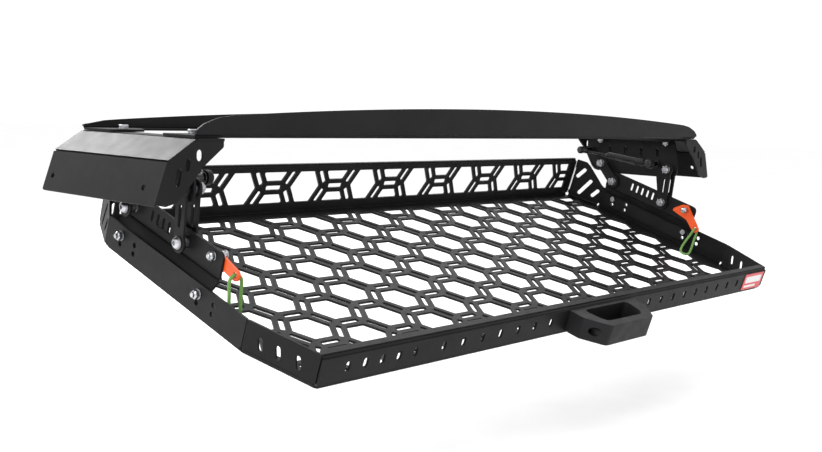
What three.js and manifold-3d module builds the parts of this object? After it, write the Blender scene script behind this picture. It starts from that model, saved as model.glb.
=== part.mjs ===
// Drop-down roof shelf for the cargo bay of an estate car or off-roader.
// A fixed upper frame (two roof wings joined by two arched cross rails) carries a
// shallow perforated tray on two pairs of swing links, with gas struts and pull latches.
//
// Millimetres and radians, +X to the right, +Y towards the back of the shelf, +Z up.
// The origin is at mid-width and mid-length of the wings, on the top face of their roof flanges.

import * as THREE from 'three';
import { mergeVertices } from 'three/addons/utils/BufferGeometryUtils.js';
import Module from 'manifold-3d';

const wasm = await Module();
wasm.setup();

// ---------------------------------------------------------------- driving dimensions

const SHEET = 3;                 // steel sheet thickness
const GAP = 0.4;                 // clearance between touching pieces

// Roof wings, section points in X and Z, and their length along Y.
const WING_LENGTH = 240;
const FLANGE_INNER_X = 514;
const FLANGE_OUTER_X = 551;
const SLOPE_END = [588, -24];
const SKIRT_END = [604, -72];
const WING_HOLE_Z = -54;
const WING_HOLES_Y = [-90, 105];
const WING_HOLE_RADIUS = 3.5;
const RAIL_BOLT = { x: 523, y: 72, radius: 3 };

// Arched cross rails: the web rises from its ends to its crown.
const RAIL_HALF_WIDTH = 551;
const RAIL_SHOULDER_X = 500;
const RAIL_FLANGE_DEPTH = 22;
const RAIL_FOOT_DEPTH = 68;
const FRONT_RAIL = { end: 26, crown: 16 };
const REAR_RAIL = { end: 14, crown: 16 };

// Planes of the swing mechanism across X, each the inner face of a sheet.
const INNER_LINK_X = 521.5;
const TRAY_BRACKET_X = 527;
const LINK_BRACKET_X = 533;
const OUTER_LINK_X = 538.5;
const LATCH_X = 523.6;
const STRUT_X = 493;

// Pivots of the swing links as [y, z], with the tray lowered.
const FRONT_UPPER = [-78.4, -58.1];
const REAR_UPPER = [66.4, -54.4];
const FRONT_LOWER = [-71.3, -120.1];
const REAR_LOWER = [38.4, -88.7];
const PIVOT_SHANK = 4;
const LINK_HALF_WIDTH = 9.5;
const LINK_BOSS = 12;
const STRUT_FRONT = [-58, -48];
const STRUT_REAR = [96, -30];
const STRUT_FLOAT = 2.7;         // play of the strut's front eyelet around its stud

// Tray, in its own frame: the origin is at the middle of the floor's top face.
const TILT = THREE.MathUtils.degToRad(17.27);
const FRONT_LOWER_ON_TRAY = [17, 64];
const REAR_CLEARANCE = { hole: [131, 62.7], radius: 9.3 };
const HALF_DEPTH = 222;
const LIP_HALF_WIDTH = 513;
const REAR_HALF_WIDTH = 515;
const WALL_HALF_WIDTH = 543;
const FRONT_BEND_Y = -127;
const REAR_BEND_Y = 158;
const CORNER_TRIM = 1.6;
const WALL_HEIGHT = 38.5;
const REAR_HEIGHT = 75;
const LIP_RETURN = 14;
const SIDE_BOLTS_Y = [-38.5, 126];
const SIDE_BOLT_Z = 26;
const BRACKET_FRONT_Y = -53;
const BRACKET_REAR_Y = 147;
const BRACKET_TOP_Z = 80;

// Hexagon lattice of the floor and the rear wall.
const PITCH = 70;
const HEX_FLATS = 49;
const COLUMN = PITCH * Math.cos(Math.PI / 6);
const FLOOR_CLIP_Y = 204;
const REAR_PATTERN_Z = 40.25;
const LIP_SLOT_PITCH = 35;
const LIP_SLOT_OFFSET = -7.5;

// Latch levers, about their pivot on the tray, and the pull cords. The left lever stands pulled.
const LATCH_PIVOT = [-35, 70];
const LATCH_TAIL = [-29.5, -25.5];
const LATCH_SHOULDER = 9;        // from the bolt's head to the lever
const LEFT_LEVER_TURN = THREE.MathUtils.degToRad(-32);
const CORD_DIAMETER = 4;
// Loops of cord from the lever's tail hole, as [x, y, z] on the tray: the right one leans on
// the floor, and the left one hangs free.
const RIGHT_CORD = [
  [-0.3, 0, 0], [-4.2, 0, -1.2], [-7.4, 0.2, -4.6], [-9.2, 0.6, -9.6], [-12.6, 1, -15.6], [-16.8, 1.2, -21.6],
  [-21.4, 1.2, -27.4], [-26, 0.6, -33], [-30, -0.8, -38], [-32, -3.8, -41.8], [-30.6, -8.6, -43.4],
  [-26.6, -12.6, -43.4], [-21.6, -14.2, -41.4], [-17.2, -13.4, -37], [-13.2, -11.6, -31.4], [-9, -9.4, -25.6],
  [-4.4, -7, -20], [0.6, -4.6, -14.8], [5.4, -2.4, -10], [7.2, -0.8, -5.2], [4.8, 0, -1.4], [0.3, 0, 0],
];
const LEFT_CORD = [
  [-0.3, 0, 0], [-4.2, -0.3, -1.2], [-7.3, -1.2, -4.6], [-8.3, -2.4, -9.5], [-8.4, -4, -16],
  [-8.3, -5.8, -23], [-8, -7.6, -30], [-8, -9.4, -37], [-8.1, -10.8, -43], [-6.6, -12, -48],
  [-2.6, -12.8, -51.2],
  [2.4, -12.8, -51.2], [6.4, -12, -48], [7.9, -10.8, -43], [7.8, -9.2, -36.5], [7.6, -7.4, -29.5],
  [7.8, -5.4, -22], [8.2, -3.6, -15], [8.3, -2.2, -9.5], [7.3, -1, -4.6], [4.2, -0.2, -1.2], [0.3, 0, 0],
];

// Screws of the pull handle: place on the lip and depth of the seat in front of it.
const HANDLE_SCREW = { x: 64, z: 19, seat: 8 };

// ---------------------------------------------------------------- materials

const paint = (color, roughness, metalness) => (
  new THREE.MeshStandardMaterial({ color, roughness, metalness })
);
const POWDER_COAT = paint(0x1c1c1e, 0.62, 0.1);
const ZINC = paint(0xc4c7cb, 0.32, 0.9);
const ORANGE = paint(0xf2531c, 0.4, 0);
const CORD_GREEN = paint(0x6fae45, 0.85, 0);
const MOULDED = paint(0x232427, 0.5, 0);
const STRUT_BLACK = paint(0x0d0d0e, 0.25, 0.2);
const ROD_STEEL = paint(0x9b9ea3, 0.2, 1);
const LABEL_RED = paint(0xc9303a, 0.45, 0);

// ---------------------------------------------------------------- flat outlines, as [u, v] lists

function arc(cu, cv, radius, from, to, steps) {
  const points = [];
  for (let i = 0; i <= steps; i += 1) {
    const a = from + ((to - from) * i) / steps;
    points.push([cu + radius * Math.cos(a), cv + radius * Math.sin(a)]);
  }
  return points;
}

function circle(cu, cv, radius, steps = 8) {
  return arc(cu, cv, radius, 0, 2 * Math.PI, steps).slice(0, steps);
}

// Slot with round ends; angle 0 lies along u.
function slot(cu, cv, length, width, angle = 0, steps = 2) {
  const r = width / 2;
  const reach = length / 2 - r;
  const du = reach * Math.cos(angle);
  const dv = reach * Math.sin(angle);
  return [
    ...arc(cu + du, cv + dv, r, angle - Math.PI / 2, angle + Math.PI / 2, steps),
    ...arc(cu - du, cv - dv, r, angle + Math.PI / 2, angle + 1.5 * Math.PI, steps),
  ];
}

function slotBetween(from, to, width, steps = 2) {
  const length = Math.hypot(to[0] - from[0], to[1] - from[1]) + width;
  const angle = Math.atan2(to[1] - from[1], to[0] - from[0]);
  return slot((from[0] + to[0]) / 2, (from[1] + to[1]) / 2, length, width, angle, steps);
}

// Hexagon with two sides parallel to u, cut off above and below the clip limits.
function hexagon(cu, cv, low = -Infinity, high = Infinity, right = Infinity) {
  const apothem = HEX_FLATS / 2;
  const side = HEX_FLATS / Math.sqrt(3);
  const halfAt = (v) => side - (Math.abs(v - cv) / apothem) * (side / 2);
  const bottom = Math.max(cv - apothem, low);
  const top = Math.min(cv + apothem, high);
  const levels = [bottom, top];
  if (bottom < cv && top > cv) levels.splice(1, 0, cv);
  const limit = (u) => Math.sign(u) * Math.min(Math.abs(u), right);
  return [
    ...levels.map((v) => [limit(cu + halfAt(v)), v]),
    ...levels.reverse().map((v) => [limit(cu - halfAt(v)), v]),
  ];
}

// Polygon whose corners [u, v, radius] are rounded off.
function rounded(corners, steps = 2) {
  const points = [];
  corners.forEach(([u, v, radius = 0], i) => {
    if (!radius) {
      points.push([u, v]);
      return;
    }
    const corner = new THREE.Vector2(u, v);
    const near = (other) => {
      const side = new THREE.Vector2(other[0], other[1]).sub(corner);
      return corner.clone().add(side.setLength(Math.min(radius, side.length() / 2)));
    };
    const start = near(corners.at(i - 1));
    const end = near(corners[(i + 1) % corners.length]);
    const curve = new THREE.QuadraticBezierCurve(start, corner, end);
    curve.getPoints(steps).forEach((p) => points.push([p.x, p.y]));
  });
  return points;
}

// Corner points moved sideways, to the right of the direction of travel.
function offsetLine(line, distance, isLoop = false) {
  const points = line.map(([u, v]) => new THREE.Vector2(u, v));
  return points.map((point, i) => {
    const before = isLoop || i > 0 ? points.at(i - 1) : null;
    const after = isLoop || i < points.length - 1 ? points[(i + 1) % points.length] : null;
    const arriving = (before ? point.clone().sub(before) : after.clone().sub(point)).normalize();
    const leaving = (after ? after.clone().sub(point) : arriving.clone()).normalize();
    const right = new THREE.Vector2(arriving.y + leaving.y, -arriving.x - leaving.x).normalize();
    const stretch = distance / (right.x * arriving.y - right.y * arriving.x);
    return [point.x + right.x * stretch, point.y + right.y * stretch];
  });
}

function foldedSection(line) {
  return [...line, ...offsetLine(line, SHEET).reverse()];
}

// ---------------------------------------------------------------- solids from outlines

function prism(outline, from, to) {
  const shape = new THREE.Shape(outline.map(([u, v]) => new THREE.Vector2(u, v)));
  return new THREE.ExtrudeGeometry(shape, { depth: to - from, bevelEnabled: false }).translate(0, 0, from);
}

function extruded(outline, holes, depth) {
  if (!holes.length) return prism(outline, 0, depth);
  return cut(prism(outline, 0, depth), ...holes.map((hole) => prism(hole, -1, depth + 1)));
}

const AXIS_X = new THREE.Vector3(1, 0, 0);
const AXIS_Y = new THREE.Vector3(0, 1, 0);
const AXIS_Z = new THREE.Vector3(0, 0, 1);
const ON_YZ = new THREE.Matrix4().makeBasis(AXIS_Y, AXIS_Z, AXIS_X);
const ON_XZ = new THREE.Matrix4().makeBasis(AXIS_X, AXIS_Z, AXIS_Y.clone().negate());

// Plate whose outline is [y, z], from x towards +X.
function plateYZ(outline, holes, x, depth = SHEET) {
  return extruded(outline, holes, depth).applyMatrix4(ON_YZ).translate(x, 0, 0);
}

// Plate whose outline is [x, z], from y towards +Y.
function plateXZ(outline, holes, y, depth = SHEET) {
  return extruded(outline, holes, depth).applyMatrix4(ON_XZ).translate(0, y + depth, 0);
}

// Plate whose outline is [x, y], from z upwards.
function plateXY(outline, holes, z, depth = SHEET) {
  return extruded(outline, holes, depth).translate(0, 0, z);
}

// Body of revolution about the X axis, from [x, radius] steps between its two ends.
function turned(steps, segments = 8) {
  const profile = [new THREE.Vector2(0, steps[0][0])];
  steps.forEach(([x, radius]) => profile.push(new THREE.Vector2(radius, x)));
  profile.push(new THREE.Vector2(0, steps.at(-1)[0]));
  return new THREE.LatheGeometry(profile, segments).rotateZ(-Math.PI / 2);
}

function mirrored(geometry) {
  const copy = closed(geometry).scale(-1, 1, 1);
  for (let i = 0; i < copy.index.count; i += 3) {
    const first = copy.index.getX(i);
    copy.index.setX(i, copy.index.getX(i + 1));
    copy.index.setX(i + 1, first);
  }
  return copy;
}

function closed(geometry) {
  const bare = new THREE.BufferGeometry();
  bare.setAttribute('position', geometry.getAttribute('position').clone());
  if (geometry.index) bare.setIndex(geometry.index.clone());
  return mergeVertices(bare, 1e-4);
}

function toSolid(geometry) {
  const merged = closed(geometry);
  const vertProperties = new Float32Array(merged.getAttribute('position').array);
  const triVerts = new Uint32Array(merged.index.array);
  return new wasm.Manifold(new wasm.Mesh({ numProp: 3, vertProperties, triVerts }));
}

function toGeometry(solid) {
  const mesh = solid.getMesh();
  const geometry = new THREE.BufferGeometry();
  geometry.setAttribute('position', new THREE.BufferAttribute(new Float32Array(mesh.vertProperties), 3));
  geometry.setIndex(new THREE.BufferAttribute(new Uint32Array(mesh.triVerts), 1));
  return geometry;
}

function joined(...pieces) {
  return toGeometry(pieces.map(toSolid).reduce((a, b) => a.add(b)));
}

function cut(piece, ...tools) {
  return toGeometry(tools.map(toSolid).reduce((a, b) => a.subtract(b), toSolid(piece)));
}

// ---------------------------------------------------------------- scene helpers

const shelf = new THREE.Group();
const tray = new THREE.Group();
shelf.add(tray);

function place(parent, name, geometry, material) {
  const mesh = new THREE.Mesh(geometry, material);
  mesh.name = name;
  parent.add(mesh);
}

function placePair(parent, name, geometry, material) {
  place(parent, `${name}_right`, geometry, material);
  place(parent, `${name}_left`, mirrored(geometry), material);
}

// ---------------------------------------------------------------- upper frame

function railBoltHole(side) {
  return circle(RAIL_BOLT.x, side * RAIL_BOLT.y, RAIL_BOLT.radius + GAP);
}

function roofWing() {
  const half = WING_LENGTH / 2;
  const line = [[FLANGE_INNER_X, 0], [FLANGE_OUTER_X, 0], SLOPE_END, SKIRT_END];
  const skin = plateXZ(foldedSection(line), [], -half, WING_LENGTH);
  const gusset = [
    [FLANGE_INNER_X, -1], [FLANGE_OUTER_X - 1, -1], [586.5, -25], [602, -71.5],
    [590, -73], [578, -70], [568, -63], [543, -32], [515, -9.5],
  ];
  const windows = [
    slot(546.8, -18.4, 13, 8, Math.PI / 2),
    slot(562, -28.5, 14, 4.5, 1.75),
    slot(574, -42, 20, 5, 1.75),
  ];
  const ends = [-half, half - SHEET].map((y) => plateXZ(gusset, windows, y));
  const boltHoles = [-1, 1].map((s) => plateXY(railBoltHole(s), [], -10, 20));
  const lean = Math.atan2(SKIRT_END[0] - SLOPE_END[0], SLOPE_END[1] - SKIRT_END[1]);
  const skirtX = SLOPE_END[0] + (SLOPE_END[1] - WING_HOLE_Z) * Math.tan(lean);
  const skirtHoles = WING_HOLES_Y.map((y) => plateYZ(circle(0, 0, WING_HOLE_RADIUS, 24), [], -10, 20)
    .rotateY(-lean).translate(skirtX, y, WING_HOLE_Z));
  return cut(joined(skin, ...ends), ...boltHoles, ...skirtHoles);
}

// Arched web with a foot at each end; side is -1 for the front rail and 1 for the rear one.
function crossRail({ end, crown }, side) {
  const outer = side * (WING_LENGTH / 2);
  const rise = (x) => end + crown * (1 - (x / RAIL_SHOULDER_X) ** 2);
  const base = GAP;
  const top = [];
  for (let i = -10; i <= 10; i += 1) {
    const x = (RAIL_SHOULDER_X * i) / 10;
    top.unshift([x, rise(x)]);
  }
  const shoulder = [
    [RAIL_HALF_WIDTH, base], [RAIL_HALF_WIDTH, 0.3 * end], [540, 0.62 * end], [522, 0.85 * end],
  ];
  const web = [...shoulder, ...top, ...shoulder.map(([x, z]) => [-x, z]).reverse()];
  const webY = side < 0 ? outer : outer - SHEET;
  const inward = (depth) => outer - side * depth;
  const flange = [
    [RAIL_HALF_WIDTH, outer], [RAIL_HALF_WIDTH, inward(RAIL_FOOT_DEPTH)], [506, inward(RAIL_FOOT_DEPTH)],
    [484, inward(RAIL_FLANGE_DEPTH)], [-484, inward(RAIL_FLANGE_DEPTH)], [-506, inward(RAIL_FOOT_DEPTH)],
    [-RAIL_HALF_WIDTH, inward(RAIL_FOOT_DEPTH)], [-RAIL_HALF_WIDTH, outer],
  ];
  const holes = [-1, 1].map((s) => circle(s * RAIL_BOLT.x, side * RAIL_BOLT.y, RAIL_BOLT.radius + GAP));
  return joined(plateXZ(web, [], webY), plateXY(flange, holes, base));
}

// Angle plate under the wing that carries both upper pivots and the strut's rear stud.
function linkBracket() {
  const top = -SHEET - GAP;
  const outline = rounded([
    [-86, top], [-94, -40, 10], [-94, -73, 14], [50, -73, 10], [82, -68, 12], [107, -40, 12], [107, top],
  ]);
  const slots = [-50, -15, 20, 55].map((y) => slot(y, -27, 18, 6, 1.45));
  const pivots = [FRONT_UPPER, REAR_UPPER].map(([y, z]) => circle(y, z, PIVOT_SHANK + GAP));
  const studHole = circle(...STRUT_REAR, 3 + GAP);
  const web = plateYZ(outline, [...slots, ...pivots, studHole], LINK_BRACKET_X);
  const inner = FLANGE_INNER_X + 1;
  const outer = LINK_BRACKET_X + 1;
  const flange = [[inner, 106], [outer, 106], [outer, -85], [inner, -85]];
  return joined(web, plateXY(flange, [-1, 1].map(railBoltHole), top - SHEET));
}

// Bolt with its washers and nut, upright through the rail foot, the wing and the link bracket.
function railBolt(side) {
  const headFace = SHEET + 2 * GAP;
  const nutFace = -2 * SHEET - 2 * GAP;
  const steps = [
    [nutFace - 8, 3], [nutFace - 7, 5.4], [nutFace, 6.2], [nutFace, 3], [headFace, 3], [headFace, 6.2],
    [headFace + 2, 5.6], [headFace + 5, 3],
  ];
  return turned(steps).rotateY(-Math.PI / 2).translate(RAIL_BOLT.x, side * RAIL_BOLT.y, 0);
}

// ---------------------------------------------------------------- swing links

// Flat bar with round ends between two pivots, with one long lightening slot.
function linkBar(upper, lower, slotted, earTip) {
  const angle = Math.atan2(lower[1] - upper[1], lower[0] - upper[0]);
  const end = (p, turn) => arc(p[0], p[1], LINK_HALF_WIDTH, angle + turn, angle + turn + Math.PI, 4);
  const outline = [...end(lower, -Math.PI / 2), ...end(upper, Math.PI / 2)];
  const bosses = [upper, lower].map(([y, z]) => extruded(circle(y, z, LINK_BOSS, 10), [], SHEET));
  const bar = [extruded(outline, [], SHEET), ...bosses];
  if (earTip) bar.push(extruded(slotBetween(upper, earTip, 15, 4), [], SHEET));
  const holes = [upper, lower].map(([y, z]) => circle(y, z, PIVOT_SHANK + GAP));
  if (slotted) {
    const at = (t) => [upper[0] + (lower[0] - upper[0]) * t, upper[1] + (lower[1] - upper[1]) * t];
    holes.push(slotBetween(at(0.32), at(0.68), 6));
  }
  if (earTip) holes.push(circle(earTip[0], earTip[1], 3 + GAP));
  const tools = holes.map((hole) => extruded(hole, [], 3 * SHEET).translate(0, 0, -SHEET));
  return cut(joined(...bar), ...tools).applyMatrix4(ON_YZ);
}

// Button-head pivot bolt with washers, spacers and nut; its spacers hold the plate at plateX.
function pivotBolt([y, z], plateX) {
  const inner = INNER_LINK_X;
  const outer = OUTER_LINK_X + SHEET;
  const steps = [
    [inner - 9, 4], [inner - 7, 6.6], [inner - GAP, 7.5], [inner - GAP, PIVOT_SHANK],
    [inner + SHEET + GAP, PIVOT_SHANK], [inner + SHEET + GAP, 7], [plateX - GAP, 7],
    [plateX - GAP, PIVOT_SHANK],
    [plateX + SHEET + GAP, PIVOT_SHANK], [plateX + SHEET + GAP, 7], [OUTER_LINK_X - GAP, 7],
    [OUTER_LINK_X - GAP, PIVOT_SHANK], [outer + GAP, PIVOT_SHANK], [outer + GAP, 7.8], [outer + 2, 7],
    [outer + 5.4, 4],
  ];
  return turned(steps).translate(0, y, z);
}

// ---------------------------------------------------------------- gas struts

function strutDirection() {
  const dy = STRUT_REAR[0] - STRUT_FRONT[0];
  const dz = STRUT_REAR[1] - STRUT_FRONT[1];
  return { length: Math.hypot(dy, dz), angle: Math.atan2(dz, dy) };
}

// Turned part along the strut, from [distance behind the front stud, radius] steps.
function alongStrut(steps, segments = 10) {
  const { angle } = strutDirection();
  return turned(steps, segments).rotateZ(Math.PI / 2).rotateX(angle).translate(STRUT_X, ...STRUT_FRONT);
}

function eyelet([y, z], radius, hole) {
  return plateYZ(circle(y, z, radius, 16), [circle(y, z, hole, 16)], STRUT_X - 3.5, 7);
}

function strutCylinder() {
  const { length } = strutDirection();
  const tube = alongStrut([[7.4, 3.2], [9.8, 3.5], [13.5, 7.5], [length - 62, 7.5], [length - 60, 6.5]]);
  const bore = alongStrut([[length - 96, 3 + GAP], [length - 50, 3 + GAP]]);
  return cut(joined(tube, eyelet(STRUT_FRONT, 9, STRUT_FLOAT + 3)), bore);
}

function strutRod() {
  const { length } = strutDirection();
  const rod = alongStrut([[length - 76, 3], [length - 12, 3], [length - 12, 5], [length - 6.4, 5]]);
  return joined(rod, eyelet(STRUT_REAR, 7, 3 + GAP));
}

// Shouldered stud that carries a strut eyelet and is fixed through a plate.
function strutStud([y, z], plateX, flange = 5) {
  const steps = [
    [STRUT_X - 6, flange], [STRUT_X - 3.5 - GAP, flange], [STRUT_X - 3.5 - GAP, 3], [STRUT_X + 3.5 + GAP, 3],
    [STRUT_X + 3.5 + GAP, flange], [plateX - GAP, 5.5], [plateX - GAP, 3], [plateX + SHEET + GAP, 3],
    [plateX + SHEET + GAP, 5], [plateX + SHEET + 2, 5],
  ];
  return turned(steps).translate(0, y, z);
}

// ---------------------------------------------------------------- tray, in its own frame

function trayFloor() {
  const half = [
    [LIP_HALF_WIDTH, -HALF_DEPTH], [WALL_HALF_WIDTH, FRONT_BEND_Y],
    [WALL_HALF_WIDTH, REAR_BEND_Y], [REAR_HALF_WIDTH, HALF_DEPTH],
  ];
  const footprint = [...half, ...half.map(([x, y]) => [-x, y]).reverse()];
  const outline = offsetLine(footprint, -SHEET - GAP, true);
  const holes = [];
  for (let column = -8; column <= 8; column += 1) {
    const shift = column % 2 === 0 ? 0 : 0.5;
    for (let row = -3; row <= 3; row += 1) {
      const y = (row + shift) * PITCH;
      if (Math.abs(y) < 215) holes.push(hexagon(column * COLUMN, y, -FLOOR_CLIP_Y, FLOOR_CLIP_Y));
    }
  }
  return plateXY(outline, holes, -SHEET);
}

function lipSlotPlaces() {
  const places = [];
  for (let n = -9; n <= 12; n += 1) {
    if (n <= -3 || n >= 4) places.push(LIP_SLOT_OFFSET + LIP_SLOT_PITCH * n);
  }
  for (let n = 0; n < 5; n += 1) places.push(-475 + 26 * n);
  return places;
}

function frontLip() {
  const half = LIP_HALF_WIDTH - SHEET - GAP;
  const outline = [[-half, -SHEET], [half, -SHEET], [half, WALL_HEIGHT], [-half, WALL_HEIGHT]];
  const slots = lipSlotPlaces().map((x) => slot(x, 20, 13, 7, Math.PI / 2));
  const screws = [-1, 1].map((side) => circle(side * HANDLE_SCREW.x, HANDLE_SCREW.z, 2.5 + GAP));
  const front = -HALF_DEPTH;
  const back = front + LIP_RETURN;
  const shelfEdge = [[-half, front], [half, front], [half - 2, back], [2 - half, back]];
  return joined(plateXZ(outline, [...slots, ...screws], front), plateXY(shelfEdge, [], WALL_HEIGHT - SHEET));
}

// Upright corner panel between two footprint points, from an outline [distance, z].
function angledPanel(from, to, outline, holes) {
  const angle = Math.atan2(to[1] - from[1], to[0] - from[0]);
  return plateXZ(outline, holes, 0).rotateZ(angle).translate(from[0], from[1], 0);
}

function frontCorner() {
  const from = [LIP_HALF_WIDTH, -HALF_DEPTH];
  const to = [WALL_HALF_WIDTH, FRONT_BEND_Y];
  const end = Math.hypot(to[0] - from[0], to[1] - from[1]) - CORNER_TRIM;
  const outline = [[GAP, -SHEET], [end, -SHEET], [end, WALL_HEIGHT], [GAP, WALL_HEIGHT]];
  const slots = [27, 53, 76].map((u) => slot(u, 18, 16, 6.5, 1.3));
  return angledPanel(from, to, outline, slots);
}

// Each side bolt's hole, with a spare one below it and two more in front.
function sideHoles() {
  const spread = [[0, 0], [0, -11], [-30, 0], [-30, -11]];
  return SIDE_BOLTS_Y.flatMap((y) => spread.map(([dy, dz]) => circle(y + dy, SIDE_BOLT_Z + dz, 3 + GAP)));
}

function sideWall() {
  const front = FRONT_BEND_Y + GAP;
  const rear = REAR_BEND_Y - GAP;
  const outline = [[front, -SHEET], [rear, -SHEET], [rear, WALL_HEIGHT], [front, WALL_HEIGHT]];
  return plateYZ(outline, sideHoles(), WALL_HALF_WIDTH - SHEET);
}

function rearCorner() {
  const from = [WALL_HALF_WIDTH, REAR_BEND_Y];
  const to = [REAR_HALF_WIDTH, HALF_DEPTH];
  const start = CORNER_TRIM;
  const end = Math.hypot(to[0] - from[0], to[1] - from[1]) - GAP;
  const outline = [
    [start, -SHEET], [end, -SHEET], [end, REAR_HEIGHT], [46, REAR_HEIGHT], [38, 70], [5, 41],
    [start, WALL_HEIGHT],
  ];
  const slots = [
    slotBetween([46, 59], [56, 43], 7), slotBetween([28, 41], [44, 12], 7), slotBetween([9, 27], [17, 15], 7),
  ];
  return angledPanel(from, to, outline, slots);
}

function rearWall() {
  const half = REAR_HALF_WIDTH - SHEET;
  const low = REAR_PATTERN_Z - HEX_FLATS / 2;
  const high = REAR_PATTERN_Z + HEX_FLATS / 2;
  const outline = [[-half, -SHEET], [half, -SHEET], [half, REAR_HEIGHT], [-half, REAR_HEIGHT]];
  const holes = [];
  for (let column = -8; column <= 8; column += 1) {
    const x = column * COLUMN;
    if (column % 2 !== 0) holes.push(hexagon(x, REAR_PATTERN_Z));
    else if (column > -8) {
      holes.push(hexagon(x, REAR_PATTERN_Z - PITCH / 2, low, high, 493));
      holes.push(hexagon(x, REAR_PATTERN_Z + PITCH / 2, low, high, 493));
    }
  }
  for (let n = 0; n < 4; n += 1) holes.push(slot(-500 + 13 * n, 20, 17, 5, Math.PI / 2));
  const y = HALF_DEPTH - SHEET;
  const back = HALF_DEPTH + 8;
  const shelfEdge = [[-half, y], [half, y], [half, back], [-half, back]];
  return joined(plateXZ(outline, holes, y), plateXY(shelfEdge, [], REAR_HEIGHT - SHEET));
}

// Folded bracket that stands on the inside of a side wall and carries both lower pivots.
function trayBracket() {
  const outerX = TRAY_BRACKET_X + SHEET;
  const flangeX = WALL_HALF_WIDTH - SHEET - GAP;
  const line = [[outerX, BRACKET_TOP_Z], [outerX, 48], [flangeX, 34], [flangeX, 8]];
  const length = BRACKET_REAR_Y - BRACKET_FRONT_Y;
  const section = plateXZ(foldedSection(line), [], BRACKET_FRONT_Y, length);
  const through = (outline) => plateYZ(outline, [], TRAY_BRACKET_X - 10, 40);
  const front = BRACKET_FRONT_Y;
  const nose = [[front - 5, 70], [front, 70], [front + 9, 85], [front - 5, 85]];
  const tools = [
    through(nose),
    through(circle(...FRONT_LOWER_ON_TRAY, PIVOT_SHANK + GAP)),
    through(circle(...REAR_CLEARANCE.hole, REAR_CLEARANCE.radius, 16)),
    through(circle(...LATCH_PIVOT, 3 + GAP)),
    ...[42, 54, 66, 78, 90].map((y) => through(slot(y, 66, 15, 5, Math.PI / 2))),
    ...sideHoles().map(through),
  ];
  return cut(section, ...tools);
}

// Bolt head, shank, washer and lock nut through a side wall and its bracket.
function sideBolt(y) {
  const inner = WALL_HALF_WIDTH - 2 * SHEET - GAP;
  const outer = WALL_HALF_WIDTH;
  const steps = [
    [inner - 4.6, 5], [inner - 3.6, 5.6], [inner - GAP, 5.6], [inner - GAP, 3], [outer + GAP, 3],
    [outer + GAP, 6.2], [outer + 1.8, 6.2], [outer + 1.8, 5.6], [outer + 7, 5], [outer + 7, 3],
    [outer + 9, 3],
  ];
  return turned(steps).translate(0, y, SIDE_BOLT_Z);
}

// Lever with a blunt nose behind its pivot and a straight tail towards the lip.
function latchLever(turn) {
  const outline = rounded([
    [26, -11, 2], [25, -6, 2], [10, 6.5, 5], [-1, 9.5, 4], [-7, 3.5, 4], [-38.6, -25.3, 6.5],
    [-30.2, -35, 6.5], [-6.5, -16.5, 5], [10, -14, 4],
  ]);
  const holes = [circle(0, 0, 3 + GAP), circle(...LATCH_TAIL, 3.4, 10)];
  return plateYZ(outline, holes, LATCH_X).rotateX(turn).translate(0, ...LATCH_PIVOT);
}

// Shouldered bolt and nut that hold a lever to its tray bracket.
function latchBolt() {
  const [y, z] = LATCH_PIVOT;
  const head = LATCH_X - LATCH_SHOULDER;
  const outer = TRAY_BRACKET_X + SHEET;
  const steps = [
    [head - 4, 2.6], [head - 2, 5], [head, 6], [head, 5], [LATCH_X - GAP, 5], [LATCH_X - GAP, 3],
    [outer + GAP, 3], [outer + GAP, 6], [outer + 5.6, 5], [outer + 7.5, 3],
  ];
  return turned(steps).translate(0, y, z);
}

// Loop of cord through the tail hole of a lever that is turned about its pivot.
function pullCord(route, turn) {
  const start = new THREE.Vector3(0, ...LATCH_TAIL).applyAxisAngle(AXIS_X, turn);
  start.add(new THREE.Vector3(LATCH_X + SHEET / 2, ...LATCH_PIVOT));
  const curve = new THREE.CatmullRomCurve3(route.map((p) => new THREE.Vector3(...p).add(start)));
  const ring = new THREE.Shape(circle(0, 0, CORD_DIAMETER / 2).map(([u, v]) => new THREE.Vector2(u, v)));
  return new THREE.ExtrudeGeometry(ring, { steps: 30, extrudePath: curve, bevelEnabled: false });
}

// Moulded pull handle on the front lip: a cupped grip with two counterbored screws.
function pullHandle() {
  const back = -HALF_DEPTH - GAP;
  const outline = rounded([
    [77, back], [-77, back], [-76, back - 24, 5], [-52, back - 54, 8], [52, back - 54, 8], [76, back - 24, 5],
  ]);
  const cup = rounded([
    [52, back - 6, 6], [-52, back - 6, 6], [-45, back - 40, 9], [45, back - 40, 9],
  ]);
  const bores = [-1, 1].flatMap((side) => [
    plateXZ(circle(side * HANDLE_SCREW.x, HANDLE_SCREW.z, 6, 10), [], back - 60, 60 - HANDLE_SCREW.seat),
    plateXZ(circle(side * HANDLE_SCREW.x, HANDLE_SCREW.z, 2.5 + GAP), [], back - 60, 70),
  ]);
  return cut(plateXY(outline, [], 4, 30), plateXY(cup, [], 9, 40), ...bores);
}

// Pan-head screw at the bottom of a counterbore, with its nut behind the lip.
function handleScrew() {
  const lipBack = HALF_DEPTH - SHEET;
  const seat = HALF_DEPTH + GAP + HANDLE_SCREW.seat;
  const steps = [
    [lipBack - 6, 2.5], [lipBack - 5, 5], [lipBack - GAP, 5], [lipBack - GAP, 2.5], [seat + GAP, 2.5],
    [seat + GAP, 4.8], [seat + 2.4, 4.6], [seat + 3.8, 2.6],
  ];
  return turned(steps).rotateZ(-Math.PI / 2).translate(HANDLE_SCREW.x, 0, HANDLE_SCREW.z);
}

function lipLabel() {
  return plateXZ([[437, 4], [505, 4], [505, 33], [437, 33]], [], -HALF_DEPTH - GAP - 0.6, 0.6);
}

// ---------------------------------------------------------------- assembly

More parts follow.
